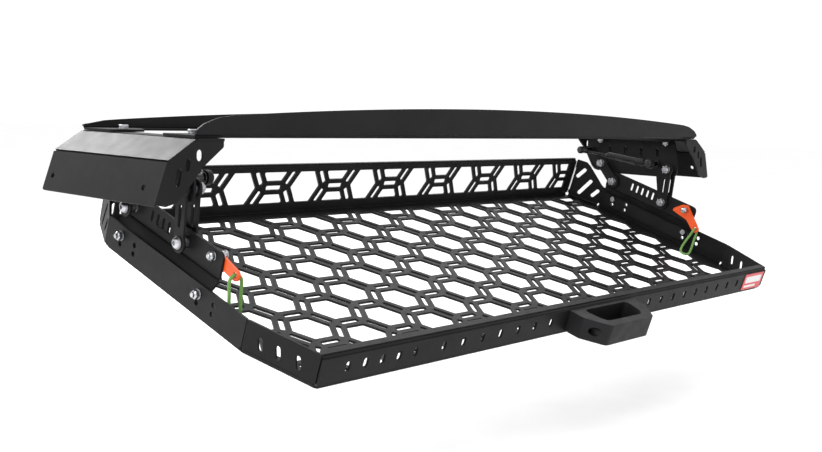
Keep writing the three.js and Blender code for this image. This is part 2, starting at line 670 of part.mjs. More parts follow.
placePair(shelf, 'roof_wing', roofWing(), POWDER_COAT);
place(shelf, 'front_cross_rail', crossRail(FRONT_RAIL, -1), POWDER_COAT);
place(shelf, 'rear_cross_rail', crossRail(REAR_RAIL, 1), POWDER_COAT);
placePair(shelf, 'link_bracket', linkBracket(), POWDER_COAT);
placePair(shelf, 'front_rail_bolt', railBolt(-1), ZINC);
placePair(shelf, 'rear_rail_bolt', railBolt(1), ZINC);
placePair(shelf, 'front_upper_pivot', pivotBolt(FRONT_UPPER, LINK_BRACKET_X), ZINC);
placePair(shelf, 'rear_upper_pivot', pivotBolt(REAR_UPPER, LINK_BRACKET_X), ZINC);
placePair(shelf, 'strut_rear_stud', strutStud(STRUT_REAR, LINK_BRACKET_X), ZINC);

const plainBar = (upper, lower, x) => linkBar(upper, lower, true).translate(x, 0, 0);
placePair(shelf, 'front_link_outer', plainBar(FRONT_UPPER, FRONT_LOWER, OUTER_LINK_X), POWDER_COAT);
const earedBar = linkBar(FRONT_UPPER, FRONT_LOWER, true, STRUT_FRONT).translate(INNER_LINK_X, 0, 0);
placePair(shelf, 'front_link_inner', earedBar, POWDER_COAT);
placePair(shelf, 'strut_front_stud', strutStud(STRUT_FRONT, INNER_LINK_X, 7), ZINC);
const shortBar = (x) => linkBar(REAR_UPPER, REAR_LOWER, false).translate(x, 0, 0);
placePair(shelf, 'rear_link_outer', shortBar(OUTER_LINK_X), POWDER_COAT);
placePair(shelf, 'rear_link_inner', shortBar(INNER_LINK_X), POWDER_COAT);
placePair(shelf, 'front_lower_pivot', pivotBolt(FRONT_LOWER, TRAY_BRACKET_X), ZINC);
placePair(shelf, 'rear_lower_pivot', pivotBolt(REAR_LOWER, TRAY_BRACKET_X), ZINC);
placePair(shelf, 'strut_cylinder', strutCylinder(), STRUT_BLACK);
placePair(shelf, 'strut_rod', strutRod(), ROD_STEEL);

// The tray hangs so that its front pivot meets the lower end of the front links.
const pivotOffset = new THREE.Vector3(0, ...FRONT_LOWER_ON_TRAY).applyAxisAngle(AXIS_X, TILT);
tray.position.set(0, FRONT_LOWER[0] - pivotOffset.y, FRONT_LOWER[1] - pivotOffset.z);
tray.rotation.x = TILT;

place(tray, 'tray_floor', trayFloor(), POWDER_COAT);
place(tray, 'front_lip', frontLip(), POWDER_COAT);
placePair(tray, 'front_corner', frontCorner(), POWDER_COAT);
placePair(tray, 'side_wall', sideWall(), POWDER_COAT);
placePair(tray, 'rear_corner', rearCorner(), POWDER_COAT);
place(tray, 'rear_wall', rearWall(), POWDER_COAT);
placePair(tray, 'tray_bracket', trayBracket(), POWDER_COAT);
placePair(tray, 'front_side_bolt', sideBolt(SIDE_BOLTS_Y[0]), ZINC);
placePair(tray, 'rear_side_bolt', sideBolt(SIDE_BOLTS_Y[1]), ZINC);
placePair(tray, 'latch_bolt', latchBolt(), ZINC);
place(tray, 'latch_lever_right', latchLever(0), ORANGE);
place(tray, 'latch_lever_left', mirrored(latchLever(LEFT_LEVER_TURN)), ORANGE);
place(tray, 'pull_cord_right', pullCord(RIGHT_CORD, 0), CORD_GREEN);
place(tray, 'pull_cord_left', mirrored(pullCord(LEFT_CORD, LEFT_LEVER_TURN)), CORD_GREEN);
place(tray, 'pull_handle', pullHandle(), MOULDED);
placePair(tray, 'handle_screw', handleScrew(), ZINC);
place(tray, 'lip_label', lipLabel(), LABEL_RED);

export default shelf;
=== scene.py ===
"""Looks of the drop-down roof shelf: bent powder-coated sheets, links, struts, latches and cords.

Sizes below are in millimetres, in the frame of the CAD model, and are scaled to metres as meshes are made.
"""

from math import atan2, cos, hypot, pi, radians, sin, tan

import bmesh
import bpy
from mathutils import Matrix, Vector
from mathutils.geometry import tessellate_polygon


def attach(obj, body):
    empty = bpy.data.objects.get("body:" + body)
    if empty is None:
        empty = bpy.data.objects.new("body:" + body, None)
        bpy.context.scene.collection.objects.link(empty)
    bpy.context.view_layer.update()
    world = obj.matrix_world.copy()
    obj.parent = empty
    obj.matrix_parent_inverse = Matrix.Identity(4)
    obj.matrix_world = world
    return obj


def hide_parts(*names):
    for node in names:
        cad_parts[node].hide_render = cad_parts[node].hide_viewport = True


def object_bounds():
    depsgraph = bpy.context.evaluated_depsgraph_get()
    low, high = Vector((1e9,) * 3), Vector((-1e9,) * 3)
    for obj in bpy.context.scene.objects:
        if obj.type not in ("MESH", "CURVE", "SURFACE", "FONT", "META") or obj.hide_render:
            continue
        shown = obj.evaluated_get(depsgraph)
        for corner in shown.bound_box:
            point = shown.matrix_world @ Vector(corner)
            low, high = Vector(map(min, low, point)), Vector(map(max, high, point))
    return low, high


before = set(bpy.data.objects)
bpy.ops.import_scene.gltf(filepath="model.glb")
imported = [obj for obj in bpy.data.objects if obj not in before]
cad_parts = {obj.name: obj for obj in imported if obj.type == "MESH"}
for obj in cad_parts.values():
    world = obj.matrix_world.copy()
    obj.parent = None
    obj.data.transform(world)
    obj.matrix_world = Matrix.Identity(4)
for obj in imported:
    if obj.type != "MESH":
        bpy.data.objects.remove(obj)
cad_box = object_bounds()

MM = 0.001
UP = Vector((0, 0, 1))

# ---------------------------------------------------------------- sizes

SHEET = 3.0
BEND_RADIUS = 3.0                 # of the middle surface of a bent sheet
EDGE_BEVEL = 0.35

WING_HALF_LENGTH = 120
WING_LINE = [(514, 0), (551, 0), (588, -24), (604, -72)]
WING_HOLES_Y = (-90, 105)
WING_HOLE_DOWN = 31               # from the top of the skirt, along it
RAIL_BOLT = (523, 72)
RAIL_BOLT_HOLE = 3.4
RAIL_HALF_WIDTH = 551
RAIL_CURVE_X = 500
FRONT_RAIL = (26, 16)             # web height at the shoulders, and the extra rise at the crown
REAR_RAIL = (14, 16)

INNER_LINK_X = 521.5
TRAY_BRACKET_X = 527
LINK_BRACKET_X = 533
OUTER_LINK_X = 538.5
LATCH_X = 523.6
CORNER_RIM = 2.5                  # floor left between the pattern and an angled corner's bend
STRUT_X = 493
LINK_HALF_WIDTH = 9.5
LINK_BOSS = 12

FRONT_UPPER = (-78.4, -58.1)
REAR_UPPER = (66.4, -54.4)
FRONT_LOWER = (-71.3, -120.1)
REAR_LOWER = (38.4, -88.7)
STRUT_FRONT = (-58, -48)
STRUT_REAR = (96, -30)
STRUT_FLOAT = 2.7

TILT = radians(17.27)
FRONT_LOWER_ON_TRAY = (17, 64)
REAR_CLEARANCE = (131, 62.7, 9.3)
LIP_Y = -222
REAR_Y = 222
LIP_HALF_WIDTH = 513
REAR_HALF_WIDTH = 515
WALL_X = 543
FRONT_BEND_Y = -127
REAR_BEND_Y = 158
WALL_HEIGHT = 38.5
REAR_HEIGHT = 75
LIP_RETURN = 14
REAR_RETURN = 8

PITCH = 70
COLUMN = PITCH * cos(pi / 6)
HEX_FLATS = 49
BAND_SLOT = (28, 7)
FLOOR_CLIP_Y = 204
PATTERN_Z = 40.25
LIP_SLOT_PITCH = 35
LIP_SLOT_OFFSET = -7.5

SIDE_BOLTS = ((-38.5, 26), (126, 26))
BRACKET_Y = (-53, 147)
BRACKET_LINE = [(530, 80), (530, 48), (539.6, 34), (539.6, 8)]
LATCH_PIVOT = (-35, 70)
LATCH_TAIL = (-29.5, -25.5)
LATCH_SHOULDER = 9                # from the bolt's head to the lever
LEFT_LEVER_TURN = radians(-32)
CORD_DIAMETER = 4
HANDLE_SCREW = (64, 19, 8)        # place on the lip, and depth of the seat in front of it
LABEL_SPAN = (437, 505, 4, 33)

# ---------------------------------------------------------------- placing

pivot = Matrix.Rotation(TILT, 4, "X") @ Vector((0, *FRONT_LOWER_ON_TRAY))
LEVEL = Matrix.Identity(4)
TRAY_ORIGIN = (0, FRONT_LOWER[0] - pivot.y, FRONT_LOWER[1] - pivot.z)
TRAY = Matrix.Translation(TRAY_ORIGIN) @ Matrix.Rotation(TILT, 4, "X")
MIRROR = Matrix.Scale(-1, 4, (1, 0, 0))


def axes(origin, u, v):
    """Frame with its origin and its first two axes given."""
    u, v = Vector(u).normalized(), Vector(v).normalized()
    turned = Matrix((u, v, u.cross(v))).transposed().to_4x4()
    return Matrix.Translation(origin) @ turned


def on_yz(x):
    return axes((x, 0, 0), (0, 1, 0), (0, 0, 1))


def on_xz(y):
    return axes((0, y, 0), (1, 0, 0), (0, 0, 1))


def on_xy(z):
    return axes((0, 0, z), (1, 0, 0), (0, 1, 0))


# ---------------------------------------------------------------- outlines


def arc(cu, cv, radius, start, end, steps):
    return [(cu + radius * cos(start + (end - start) * i / steps),
             cv + radius * sin(start + (end - start) * i / steps)) for i in range(steps + 1)]


def circle(cu, cv, radius, steps=20):
    return arc(cu, cv, radius, 0, 2 * pi, steps)[:-1]


def slot(cu, cv, length, width, angle=0.0):
    reach = (length - width) / 2
    du, dv = reach * cos(angle), reach * sin(angle)
    return (arc(cu + du, cv + dv, width / 2, angle - pi / 2, angle + pi / 2, 5)
            + arc(cu - du, cv - dv, width / 2, angle + pi / 2, angle + 1.5 * pi, 5))


def slot_between(start, end, width):
    length = hypot(end[0] - start[0], end[1] - start[1]) + width
    angle = atan2(end[1] - start[1], end[0] - start[0])
    return slot((start[0] + end[0]) / 2, (start[1] + end[1]) / 2, length, width, angle)


def box_outline(low_u, high_u, low_v, high_v):
    return [(low_u, low_v), (high_u, low_v), (high_u, high_v), (low_u, high_v)]


def rounded(corners, radius=None, steps=4):
    """Outline with its corners rounded; a corner is (u, v) or (u, v, radius)."""
    points = []
    for i, corner in enumerate(corners):
        here = Vector(corner[:2])
        size = radius if radius is not None else (corner[2] if len(corner) > 2 else 0)
        if not size:
            points.append(tuple(here))
            continue
        before, after = Vector(corners[i - 1][:2]) - here, Vector(corners[(i + 1) % len(corners)][:2]) - here
        bend = before.angle(after) / 2
        reach = min(size / tan(bend), 0.49 * before.length, 0.49 * after.length)
        start, end = here + before.normalized() * reach, here + after.normalized() * reach
        for k in range(steps + 1):
            t = k / steps
            points.append(tuple(start * (1 - t) ** 2 + here * 2 * t * (1 - t) + end * t ** 2))
    return points


def cut_off(outline, axis, limit, keep_below):
    """Convex outline cut straight at a limit of u (axis 0) or v (axis 1)."""
    def inside(p):
        return p[axis] <= limit if keep_below else p[axis] >= limit
    result = []
    for i, p in enumerate(outline):
        before = outline[i - 1]
        if inside(before) != inside(p):
            t = (limit - before[axis]) / (p[axis] - before[axis])
            result.append((before[0] + (p[0] - before[0]) * t, before[1] + (p[1] - before[1]) * t))
        if inside(p):
            result.append(p)
    return result


def cut_along(outline, point, inward):
    """Convex outline cut along a line, keeping what lies on the inward side of it."""
    result = []
    for i, p in enumerate(outline):
        here, there = Vector(p), Vector(outline[i - 1])
        depth, last = (here - point).dot(inward), (there - point).dot(inward)
        if (depth >= 0) != (last >= 0):
            result.append(tuple(there.lerp(here, last / (last - depth))))
        if depth >= 0:
            result.append(p)
    return result


def hexagon(cu, cv):
    side = HEX_FLATS / 3 ** 0.5
    return [(cu + side * cos(k * pi / 3), cv + side * sin(k * pi / 3)) for k in range(6)]


def band_slot(cu, cv, angle):
    """Slot between the hexagon at (cu, cv) and its neighbour in that direction."""
    mu, mv = cu + PITCH / 2 * cos(angle), cv + PITCH / 2 * sin(angle)
    along = Vector((-sin(angle), cos(angle))) * BAND_SLOT[0] / 2
    across = Vector((cos(angle), sin(angle))) * BAND_SLOT[1] / 2
    middle = Vector((mu, mv))
    return [tuple(middle + p) for p in (-along - across, -along + across, along + across, along - across)]


def clipped_cells(cells, low, high, right, corners=()):
    """Cells cut at the pattern's limits, without the slivers, and with small corner radii."""
    limits = ((1, low, False), (1, high, True), (0, right, True), (0, -right, False))
    holes = []
    for cell in cells:
        for axis, limit, keep_below in limits:
            cell = cut_off(cell, axis, limit, keep_below) if len(cell) > 2 else []
        for point, inward in corners:
            cell = cut_along(cell, point, inward) if len(cell) > 2 else []
        if len(cell) < 3:
            continue
        wide = max(p[0] for p in cell) - min(p[0] for p in cell)
        tall = max(p[1] for p in cell) - min(p[1] for p in cell)
        if min(wide, tall) > 4.5:
            holes.append(rounded(cell, radius=2.2, steps=3))
    return holes


# ---------------------------------------------------------------- meshes


def new_object(name, bm, material, smooth=True):
    mesh = bpy.data.meshes.new(name)
    bm.to_mesh(mesh)
    bm.free()
    obj = bpy.data.objects.new(name, mesh)
    bpy.context.scene.collection.objects.link(obj)
    mesh.materials.append(material)
    for polygon in mesh.polygons:
        polygon.use_smooth = smooth
    return obj


def apply_modifiers(obj):
    bpy.context.view_layer.update()
    done = bpy.data.meshes.new_from_object(obj.evaluated_get(bpy.context.evaluated_depsgraph_get()))
    obj.modifiers.clear()
    obj.data = done


def soften(obj, width, segments=2, angle=40):
    """Rounded edges, with shading that stays flat on the flat faces."""
    obj.data.set_sharp_from_angle(angle=radians(angle))
    bevel = obj.modifiers.new("edges", "BEVEL")
    bevel.width = width * MM
    bevel.segments = segments
    bevel.limit_method = "ANGLE"
    bevel.angle_limit = radians(angle)
    bevel.use_clamp_overlap = True
    weighted = obj.modifiers.new("shading", "WEIGHTED_NORMAL")
    weighted.keep_sharp = False
    apply_modifiers(obj)


class Sheet:
    """Middle surface of a bent sheet, made of flat panels and bends."""

    def __init__(self, place=LEVEL):
        self.bm = bmesh.new()
        self.place = place

    def flat(self, outline, holes, panel):
        loops = [list(outline)] + [list(hole) for hole in holes]
        points = [Vector((p[0], p[1], 0)) for loop in loops for p in loop]
        verts = [self.bm.verts.new(self.place @ panel @ p * MM) for p in points]
        flat_loops = [[Vector((p[0], p[1], 0)) for p in loop] for loop in loops]
        for triangle in tessellate_polygon(flat_loops):
            self.bm.faces.new([verts[i] for i in triangle])

    def bend(self, start, end, side_a, side_b, steps=5):
        """Round bend along the line from start to end between two panels, given as directions."""
        side_a, side_b = Vector(side_a).normalized(), Vector(side_b).normalized()
        half = side_a.angle(side_b) / 2
        centre = (side_a + side_b).normalized() * BEND_RADIUS / sin(half)
        first = side_a * BEND_RADIUS / tan(half) - centre
        last = side_b * BEND_RADIUS / tan(half) - centre
        rows = []
        for k in range(steps + 1):
            offset = centre + first.slerp(last, k / steps)
            rows.append([self.bm.verts.new(self.place @ (Vector(p) + offset) * MM) for p in (start, end)])
        for a, b in zip(rows, rows[1:]):
            self.bm.faces.new((a[0], a[1], b[1], b[0]))

    def chain(self, line, y0, y1, holes_on=None, free_radius=(0, 0)):
        """Sheet folded along Y, from the section line [x, z] of its middle surface."""
        holes_on = holes_on or {}
        points = [Vector((x, 0, z)) for x, z in line]
        last = len(points) - 2
        for i in range(last + 1):
            along = (points[i + 1] - points[i]).normalized()
            length = (points[i + 1] - points[i]).length
            start = trim(points[i - 1], points[i], points[i + 1]) if i else 0
            stop = length - (trim(points[i], points[i + 1], points[i + 2]) if i < last else 0)
            low, high = (free_radius[0] if i == 0 else 0), (free_radius[1] if i == last else 0)
            corners = [(y0, start, low), (y1, start, low), (y1, stop, high), (y0, stop, high)]
            self.flat(rounded(corners), holes_on.get(i, []), axes(points[i], (0, 1, 0), along))
            if i < last:
                corner = points[i + 1]
                ends = [corner + Vector((0, y, 0)) for y in (y0, y1)]
                self.bend(*ends, -along, points[i + 2] - corner)

    def to_object(self, name, material, thickness=SHEET, bevel=EDGE_BEVEL, mirror=False):
        bm = self.bm.copy()
        if mirror:
            bm.transform(MIRROR)
        bmesh.ops.remove_doubles(bm, verts=bm.verts, dist=0.02 * MM)
        bmesh.ops.dissolve_degenerate(bm, edges=bm.edges, dist=0.01 * MM)
        bmesh.ops.recalc_face_normals(bm, faces=bm.faces)
        obj = new_object(name, bm, material)
        solid = obj.modifiers.new("thickness", "SOLIDIFY")
        solid.thickness = thickness * MM
        solid.offset = 0
        apply_modifiers(obj)
        soften(obj, bevel)
        return obj


def trim(before, corner, after):
    """Length that a bend takes from each of its two panels."""
    return BEND_RADIUS / tan((before - corner).angle(after - corner) / 2)


def middle_line(line, offset=-SHEET / 2):
    """Section line of the middle surface, offset to the left of the outer line's direction."""
    points = [Vector(p) for p in line]
    result = []
    for i, p in enumerate(points):
        before = (p - points[i - 1]).normalized() if i else (points[1] - p).normalized()
        after = (points[i + 1] - p).normalized() if i < len(points) - 1 else before
        normal = Vector((-before.y - after.y, before.x + after.x)).normalized()
        stretch = offset / (normal.x * -before.y + normal.y * before.x)
        result.append(tuple(p + normal * stretch))
    return result


class Turned:
    """Closed turned pieces about the X axis, gathered into one mesh."""

    SEGMENTS = 24

    def __init__(self, place=LEVEL):
        self.bm = bmesh.new()
        self.place = place

    def ring(self, x, radius, kind):
        verts = []
        for k in range(self.SEGMENTS):
            angle = 2 * pi * k / self.SEGMENTS
            r = radius
            if kind == "hex":
                r = radius / cos((angle % (pi / 3)) - pi / 6)
            point = Vector((x, r * cos(angle), r * sin(angle)))
            verts.append(self.bm.verts.new(self.place @ point * MM))
        return verts

    def piece(self, *steps):
        """Solid from [x, radius] or [x, flat-to-centre distance, "hex"] steps."""
        rings = [self.ring(s[0], s[1], s[2] if len(s) > 2 else "round") for s in steps]
        for a, b in zip(rings, rings[1:]):
            for k in range(self.SEGMENTS):
                n = (k + 1) % self.SEGMENTS
                self.bm.faces.new((a[k], a[n], b[n], b[k]))
        self.bm.faces.new(list(reversed(rings[0])))
        self.bm.faces.new(rings[-1])
        return self

    def to_object(self, name, material, mirror=False, bevel=0.18, angle=32):
        bm = self.bm.copy()
        if mirror:
            bm.transform(MIRROR)
        bmesh.ops.recalc_face_normals(bm, faces=bm.faces)
        obj = new_object(name, bm, material)
        soften(obj, bevel, segments=1, angle=angle)
        return obj


# ---------------------------------------------------------------- materials


def shader(name, **values):
    material = bpy.data.materials.new(name)
    material.use_nodes = True
    nodes = material.node_tree.nodes
    principled = nodes["Principled BSDF"]
    for socket, value in values.items():
        title = socket if socket == "IOR" else socket.replace("_", " ").capitalize()
        principled.inputs[title].default_value = value
    return material, material.node_tree, principled


def place_of(tree, scale):
    """Object coordinates, in metres, scaled up to the size of a texture."""
    coordinates = tree.nodes.new("ShaderNodeTexCoord")
    mapping = tree.nodes.new("ShaderNodeMapping")
    mapping.inputs["Scale"].default_value = (scale, scale, scale)
    tree.links.new(coordinates.outputs["Object"], mapping.inputs["Vector"])
    return mapping.outputs["Vector"]


def noise(tree, scale, detail=3.0, rough=0.5):
    texture = tree.nodes.new("ShaderNodeTexNoise")
    texture.inputs["Scale"].default_value = scale
    texture.inputs["Detail"].default_value = detail
    texture.inputs["Roughness"].default_value = rough
    tree.links.new(place_of(tree, 1), texture.inputs["Vector"])
    return texture.outputs["Fac"]


def ramp(tree, source, low, high, low_value, high_value):
    node = tree.nodes.new("ShaderNodeMapRange")
    node.inputs["From Min"].default_value = low
    node.inputs["From Max"].default_value = high
    node.inputs["To Min"].default_value = low_value
    node.inputs["To Max"].default_value = high_value
    tree.links.new(source, node.inputs["Value"])
    return node.outputs["Result"]


def blend_colors(tree, source, first, second):
    mix = tree.nodes.new("ShaderNodeMix")
    mix.data_type = "RGBA"
    mix.inputs["A"].default_value = (*first, 1)
    mix.inputs["B"].default_value = (*second, 1)
    tree.links.new(source, mix.inputs["Factor"])
    return mix.outputs["Result"]


def bump(tree, principled, source, strength, distance):
    node = tree.nodes.new("ShaderNodeBump")
    node.inputs["Strength"].default_value = strength
    node.inputs["Distance"].default_value = distance
    tree.links.new(source, node.inputs["Height"])
    tree.links.new(node.outputs["Normal"], principled.inputs["Normal"])


def grained(name, first, second, roughness, grain, strength, depth, metallic=0.0, specular=0.5):
    """Coated or moulded surface: fine grain, mottled colour and uneven gloss."""
    material, tree, principled = shader(name, metallic=metallic)
    principled.inputs["Specular IOR Level"].default_value = specular
    patches = noise(tree, 14, 2)
    tree.links.new(blend_colors(tree, ramp(tree, patches, 0.35, 0.65, 0, 1), first, second),
                   principled.inputs["Base Color"])
    gloss = ramp(tree, noise(tree, 60, 4), 0.3, 0.7, roughness[0], roughness[1])
    tree.links.new(gloss, principled.inputs["Roughness"])
    bump(tree, principled, noise(tree, grain, 2, 0.6), strength, depth)
    return material


def plated_steel():
    return grained("zinc_plate", (0.4, 0.41, 0.43), (0.5, 0.51, 0.53), (0.26, 0.38), 900, 0.08, 0.0001, 1.0)


def braided_cord():
    """Green cord sleeve: two crossing sets of strands, from the tube's own coordinates."""
    material, tree, principled = shader("green_braid", roughness=0.85)
    principled.inputs["Sheen Weight"].default_value = 0.25
    coordinates = tree.nodes.new("ShaderNodeTexCoord")
    waves = []
    for slant in (1, -1):
        mapping = tree.nodes.new("ShaderNodeMapping")
        mapping.inputs["Rotation"].default_value = (0, 0, slant * 0.8)
        tree.links.new(coordinates.outputs["UV"], mapping.inputs["Vector"])
        wave = tree.nodes.new("ShaderNodeTexWave")
        wave.inputs["Scale"].default_value = 1.3
        wave.inputs["Distortion"].default_value = 0.4
        tree.links.new(mapping.outputs["Vector"], wave.inputs["Vector"])
        waves.append(wave.outputs["Fac"])
    strands = tree.nodes.new("ShaderNodeMath")
    strands.operation = "MAXIMUM"
    tree.links.new(waves[0], strands.inputs[0])
    tree.links.new(waves[1], strands.inputs[1])
    color = blend_colors(tree, strands.outputs[0], (0.05, 0.14, 0.022), (0.17, 0.38, 0.07))
    tree.links.new(color, principled.inputs["Base Color"])
    bump(tree, principled, strands.outputs[0], 0.6, 0.0003)
    return material


POWDER_COAT = grained("black_powder_coat", (0.0055, 0.0055, 0.006), (0.008, 0.008, 0.0085),
                      (0.49, 0.55), 1300, 0.4, 0.0003, specular=0.17)
ORANGE_COAT = grained("orange_coat", (0.76, 0.074, 0.006), (0.81, 0.098, 0.011),
                      (0.36, 0.48), 1100, 0.2, 0.0002)
MOULDED = grained("moulded_plastic", (0.006, 0.006, 0.007), (0.009, 0.009, 0.01),
                  (0.46, 0.58), 800, 0.3, 0.0003, specular=0.22)
STRUT_BLACK = grained("gloss_black", (0.003, 0.003, 0.003), (0.005, 0.005, 0.005),
                      (0.12, 0.2), 700, 0.04, 0.0001, specular=0.35)
SOCKET_PLASTIC = grained("socket_plastic", (0.006, 0.006, 0.007), (0.009, 0.009, 0.01),
                         (0.4, 0.5), 900, 0.2, 0.0002, specular=0.2)
DARK_STEEL = grained("dark_steel", (0.04, 0.04, 0.042), (0.06, 0.06, 0.062),
                     (0.25, 0.35), 900, 0.08, 0.0001, 1.0)
ZINC = plated_steel()
ROD = grained("nitrided_rod", (0.03, 0.03, 0.032), (0.045, 0.045, 0.047),
              (0.15, 0.24), 1500, 0.03, 0.0001, 1.0)
LABEL_RED = grained("label_red", (0.52, 0.02, 0.03), (0.6, 0.03, 0.04), (0.28, 0.36), 500, 0.03, 0.0001)
LABEL_WHITE = grained("label_white", (0.62, 0.6, 0.6), (0.7, 0.68, 0.68), (0.28, 0.36), 500, 0.03, 0.0001)
BRAID = braided_cord()


# ---------------------------------------------------------------- helpers for finished pieces


def finish_piece(obj, body, slot_name, *nodes):
    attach(obj, body)
    if nodes:
        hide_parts(*nodes)
    return obj


def pair(name, builder, material, body, slot_name, has_node=True, **options):
    """The right-hand piece and its mirror image, which stand for the CAD nodes of that name."""
    for side in ("right", "left"):
        obj = builder.to_object(f"{name}_{side}_shown", material, mirror=side == "left", **options)
        finish_piece(obj, body, slot_name, *([f"{name}_{side}"] if has_node else []))


def plate(outline, holes, panel, place=LEVEL):
    sheet = Sheet(place)
    sheet.flat(outline, holes, panel)
    return sheet


# ---------------------------------------------------------------- camera, floor and light


def add_camera():
    data = bpy.data.cameras.new("camera")
    data.lens = 46.37
    data.sensor_width = 36
    data.shift_x = -0.0373
    data.shift_y = 0.0037
    data.clip_start = 0.01
    camera = bpy.data.objects.new("camera", data)
    right, up = Vector((0.6694, -0.7421, 0.0344)), Vector((0.0617, 0.1016, 0.9929))
    camera.matrix_world = axes((-1.229, -1.0872, 0.0423), right, up)
    bpy.context.scene.collection.objects.link(camera)
    bpy.context.scene.camera = camera


def add_floor():
    bm = bmesh.new()
    bmesh.ops.create_grid(bm, x_segments=2, y_segments=2, size=14)
    bm.transform(Matrix.Translation((0, 0, cad_box[0].z - 0.12)))
    material = grained("pale_floor", (0.9, 0.9, 0.9), (0.92, 0.92, 0.92), (0.8, 0.9), 30, 0.02, 0.0002)
    floor = new_object("floor", bm, material)


def add_softbox(name, place, target, size, power, color=(1, 1, 1)):
    data = bpy.data.lights.new(name, "AREA")
    data.shape = "RECTANGLE"
    data.size, data.size_y = size
    data.energy = power
    data.color = color
    light = bpy.data.objects.new(name, data)
    light.location = place
    light.rotation_euler = (Vector(target) - Vector(place)).to_track_quat("-Z", "Y").to_euler()
    light.visible_camera = False
    bpy.context.scene.collection.objects.link(light)


def add_lights():
    world = bpy.data.worlds.new("studio")
    world.use_nodes = True
    background = world.node_tree.nodes["Background"]
    background.inputs["Color"].default_value = (1, 1, 1, 1)
    background.inputs["Strength"].default_value = 1.08
    bpy.context.scene.world = world
    bpy.context.scene.view_settings.view_transform = "Standard"
    add_softbox("key", (-2.6, -0.6, 1.9), (-0.4, 0, -0.05), (1.6, 1.6), 40)
    add_softbox("back", (-0.3, 2.3, 1.35), (-0.57, 0, 0), (0.9, 0.9), 55)
    add_softbox("side", (1.9, 1.4, 1.3), (0, -0.1, -0.15), (1.4, 1.4), 17)
    add_softbox("top", (0.3, -0.2, 2.6), (0, 0, 0), (3.0, 2.0), 10)


add_camera()

# ---------------------------------------------------------------- pull cords


# Routes from the lever's tail hole, on the tray, as in the CAD model.
RIGHT_CORD = [
    (-0.3, 0, 0), (-4.2, 0, -1.2), (-7.4, 0.2, -4.6), (-9.2, 0.6, -9.6), (-12.6, 1, -15.6),
    (-16.8, 1.2, -21.6), (-21.4, 1.2, -27.4), (-26, 0.6, -33), (-30, -0.8, -38), (-32, -3.8, -41.8),
    (-30.6, -8.6, -43.4), (-26.6, -12.6, -43.4), (-21.6, -14.2, -41.4), (-17.2, -13.4, -37),
    (-13.2, -11.6, -31.4), (-9, -9.4, -25.6), (-4.4, -7, -20), (0.6, -4.6, -14.8), (5.4, -2.4, -10),
    (7.2, -0.8, -5.2), (4.8, 0, -1.4), (0.3, 0, 0),
]
LEFT_CORD = [
    (-0.3, 0, 0), (-4.2, -0.3, -1.2), (-7.3, -1.2, -4.6), (-8.3, -2.4, -9.5), (-8.4, -4, -16),
    (-8.3, -5.8, -23), (-8, -7.6, -30), (-8, -9.4, -37), (-8.1, -10.8, -43), (-6.6, -12, -48),
    (-2.6, -12.8, -51.2), (2.4, -12.8, -51.2), (6.4, -12, -48), (7.9, -10.8, -43), (7.8, -9.2, -36.5),
    (7.6, -7.4, -29.5), (7.8, -5.4, -22), (8.2, -3.6, -15), (8.3, -2.2, -9.5), (7.3, -1, -4.6),
    (4.2, -0.2, -1.2), (0.3, 0, 0),
]


def lever_place(turn):
    """Frame on the latch pivot, turned with the lever; the part is drawn on the right-hand side."""
    return TRAY @ Matrix.Translation((0, *LATCH_PIVOT)) @ Matrix.Rotation(turn, 4, "X")


def cord_route(route, turn):
    tail = Matrix.Rotation(turn, 4, "X") @ Vector((0, *LATCH_TAIL))
    hole = tail + Vector((LATCH_X + SHEET / 2, *LATCH_PIVOT))
    return [hole + Vector(p) for p in route]


def smooth_path(route, per_span=5):
    """Points of a Catmull-Rom curve through the route."""
    points = [Vector(p) for p in route]
    points = [2 * points[0] - points[1]] + points + [2 * points[-1] - points[-2]]
    path = []
    for a, b, c, d in zip(points, points[1:], points[2:], points[3:]):
        for k in range(per_span):
            t = k / per_span
            path.append(0.5 * (2 * b + (c - a) * t + (2 * a - 5 * b + 4 * c - d) * t ** 2
                               + (3 * b - a - 3 * c + d) * t ** 3))
    return path + [points[-2]]


def cord_tube(path, name):
    """Round tube along the path, with its length and girth as coordinates for the braid."""
    bm = bmesh.new()
    uv = bm.loops.layers.uv.new("braid")
    sides = 14
    side = (path[1] - path[0]).orthogonal().normalized()
    radius = CORD_DIAMETER / 2
    turns = [2 * pi * k / sides for k in range(sides)]
    rings, distance, lengths = [], 0.0, []
    for i, p in enumerate(path):
        ahead = (path[min(i + 1, len(path) - 1)] - path[max(i - 1, 0)]).normalized()
        side = (side - ahead * side.dot(ahead)).normalized()
        other = ahead.cross(side)
        distance += (p - path[i - 1]).length if i else 0
        lengths.append(distance)
        ring = [p + (side * cos(turn) + other * sin(turn)) * radius for turn in turns]
        rings.append([bm.verts.new(spot * MM) for spot in ring])
    for i in range(len(path) - 1):
        for k in range(sides):
            n = (k + 1) % sides
            face = bm.faces.new((rings[i][k], rings[i][n], rings[i + 1][n], rings[i + 1][k]))
            spots = ((i, k), (i, k + 1), (i + 1, k + 1), (i + 1, k))
            for loop, (row, column) in zip(face.loops, spots):
                loop[uv].uv = (lengths[row], column / sides * 2 * pi * CORD_DIAMETER / 2)
    bm.faces.new(list(reversed(rings[0])))
    bm.faces.new(rings[-1])
    bmesh.ops.recalc_face_normals(bm, faces=bm.faces)
    return new_object(name, bm, BRAID), distance


def add_cords():
    cords = (("right", LEVEL, RIGHT_CORD, 0), ("left", MIRROR, LEFT_CORD, LEFT_LEVER_TURN))
    for side, flip, route, turn in cords:
        path = [flip @ TRAY @ p for p in smooth_path(cord_route(route, turn))]
        obj, length = cord_tube(path, f"pull_cord_{side}_shown")
        finish_piece(obj, f"latch_{side}", "cord", f"pull_cord_{side}")


add_cords()

# ---------------------------------------------------------------- upper frame


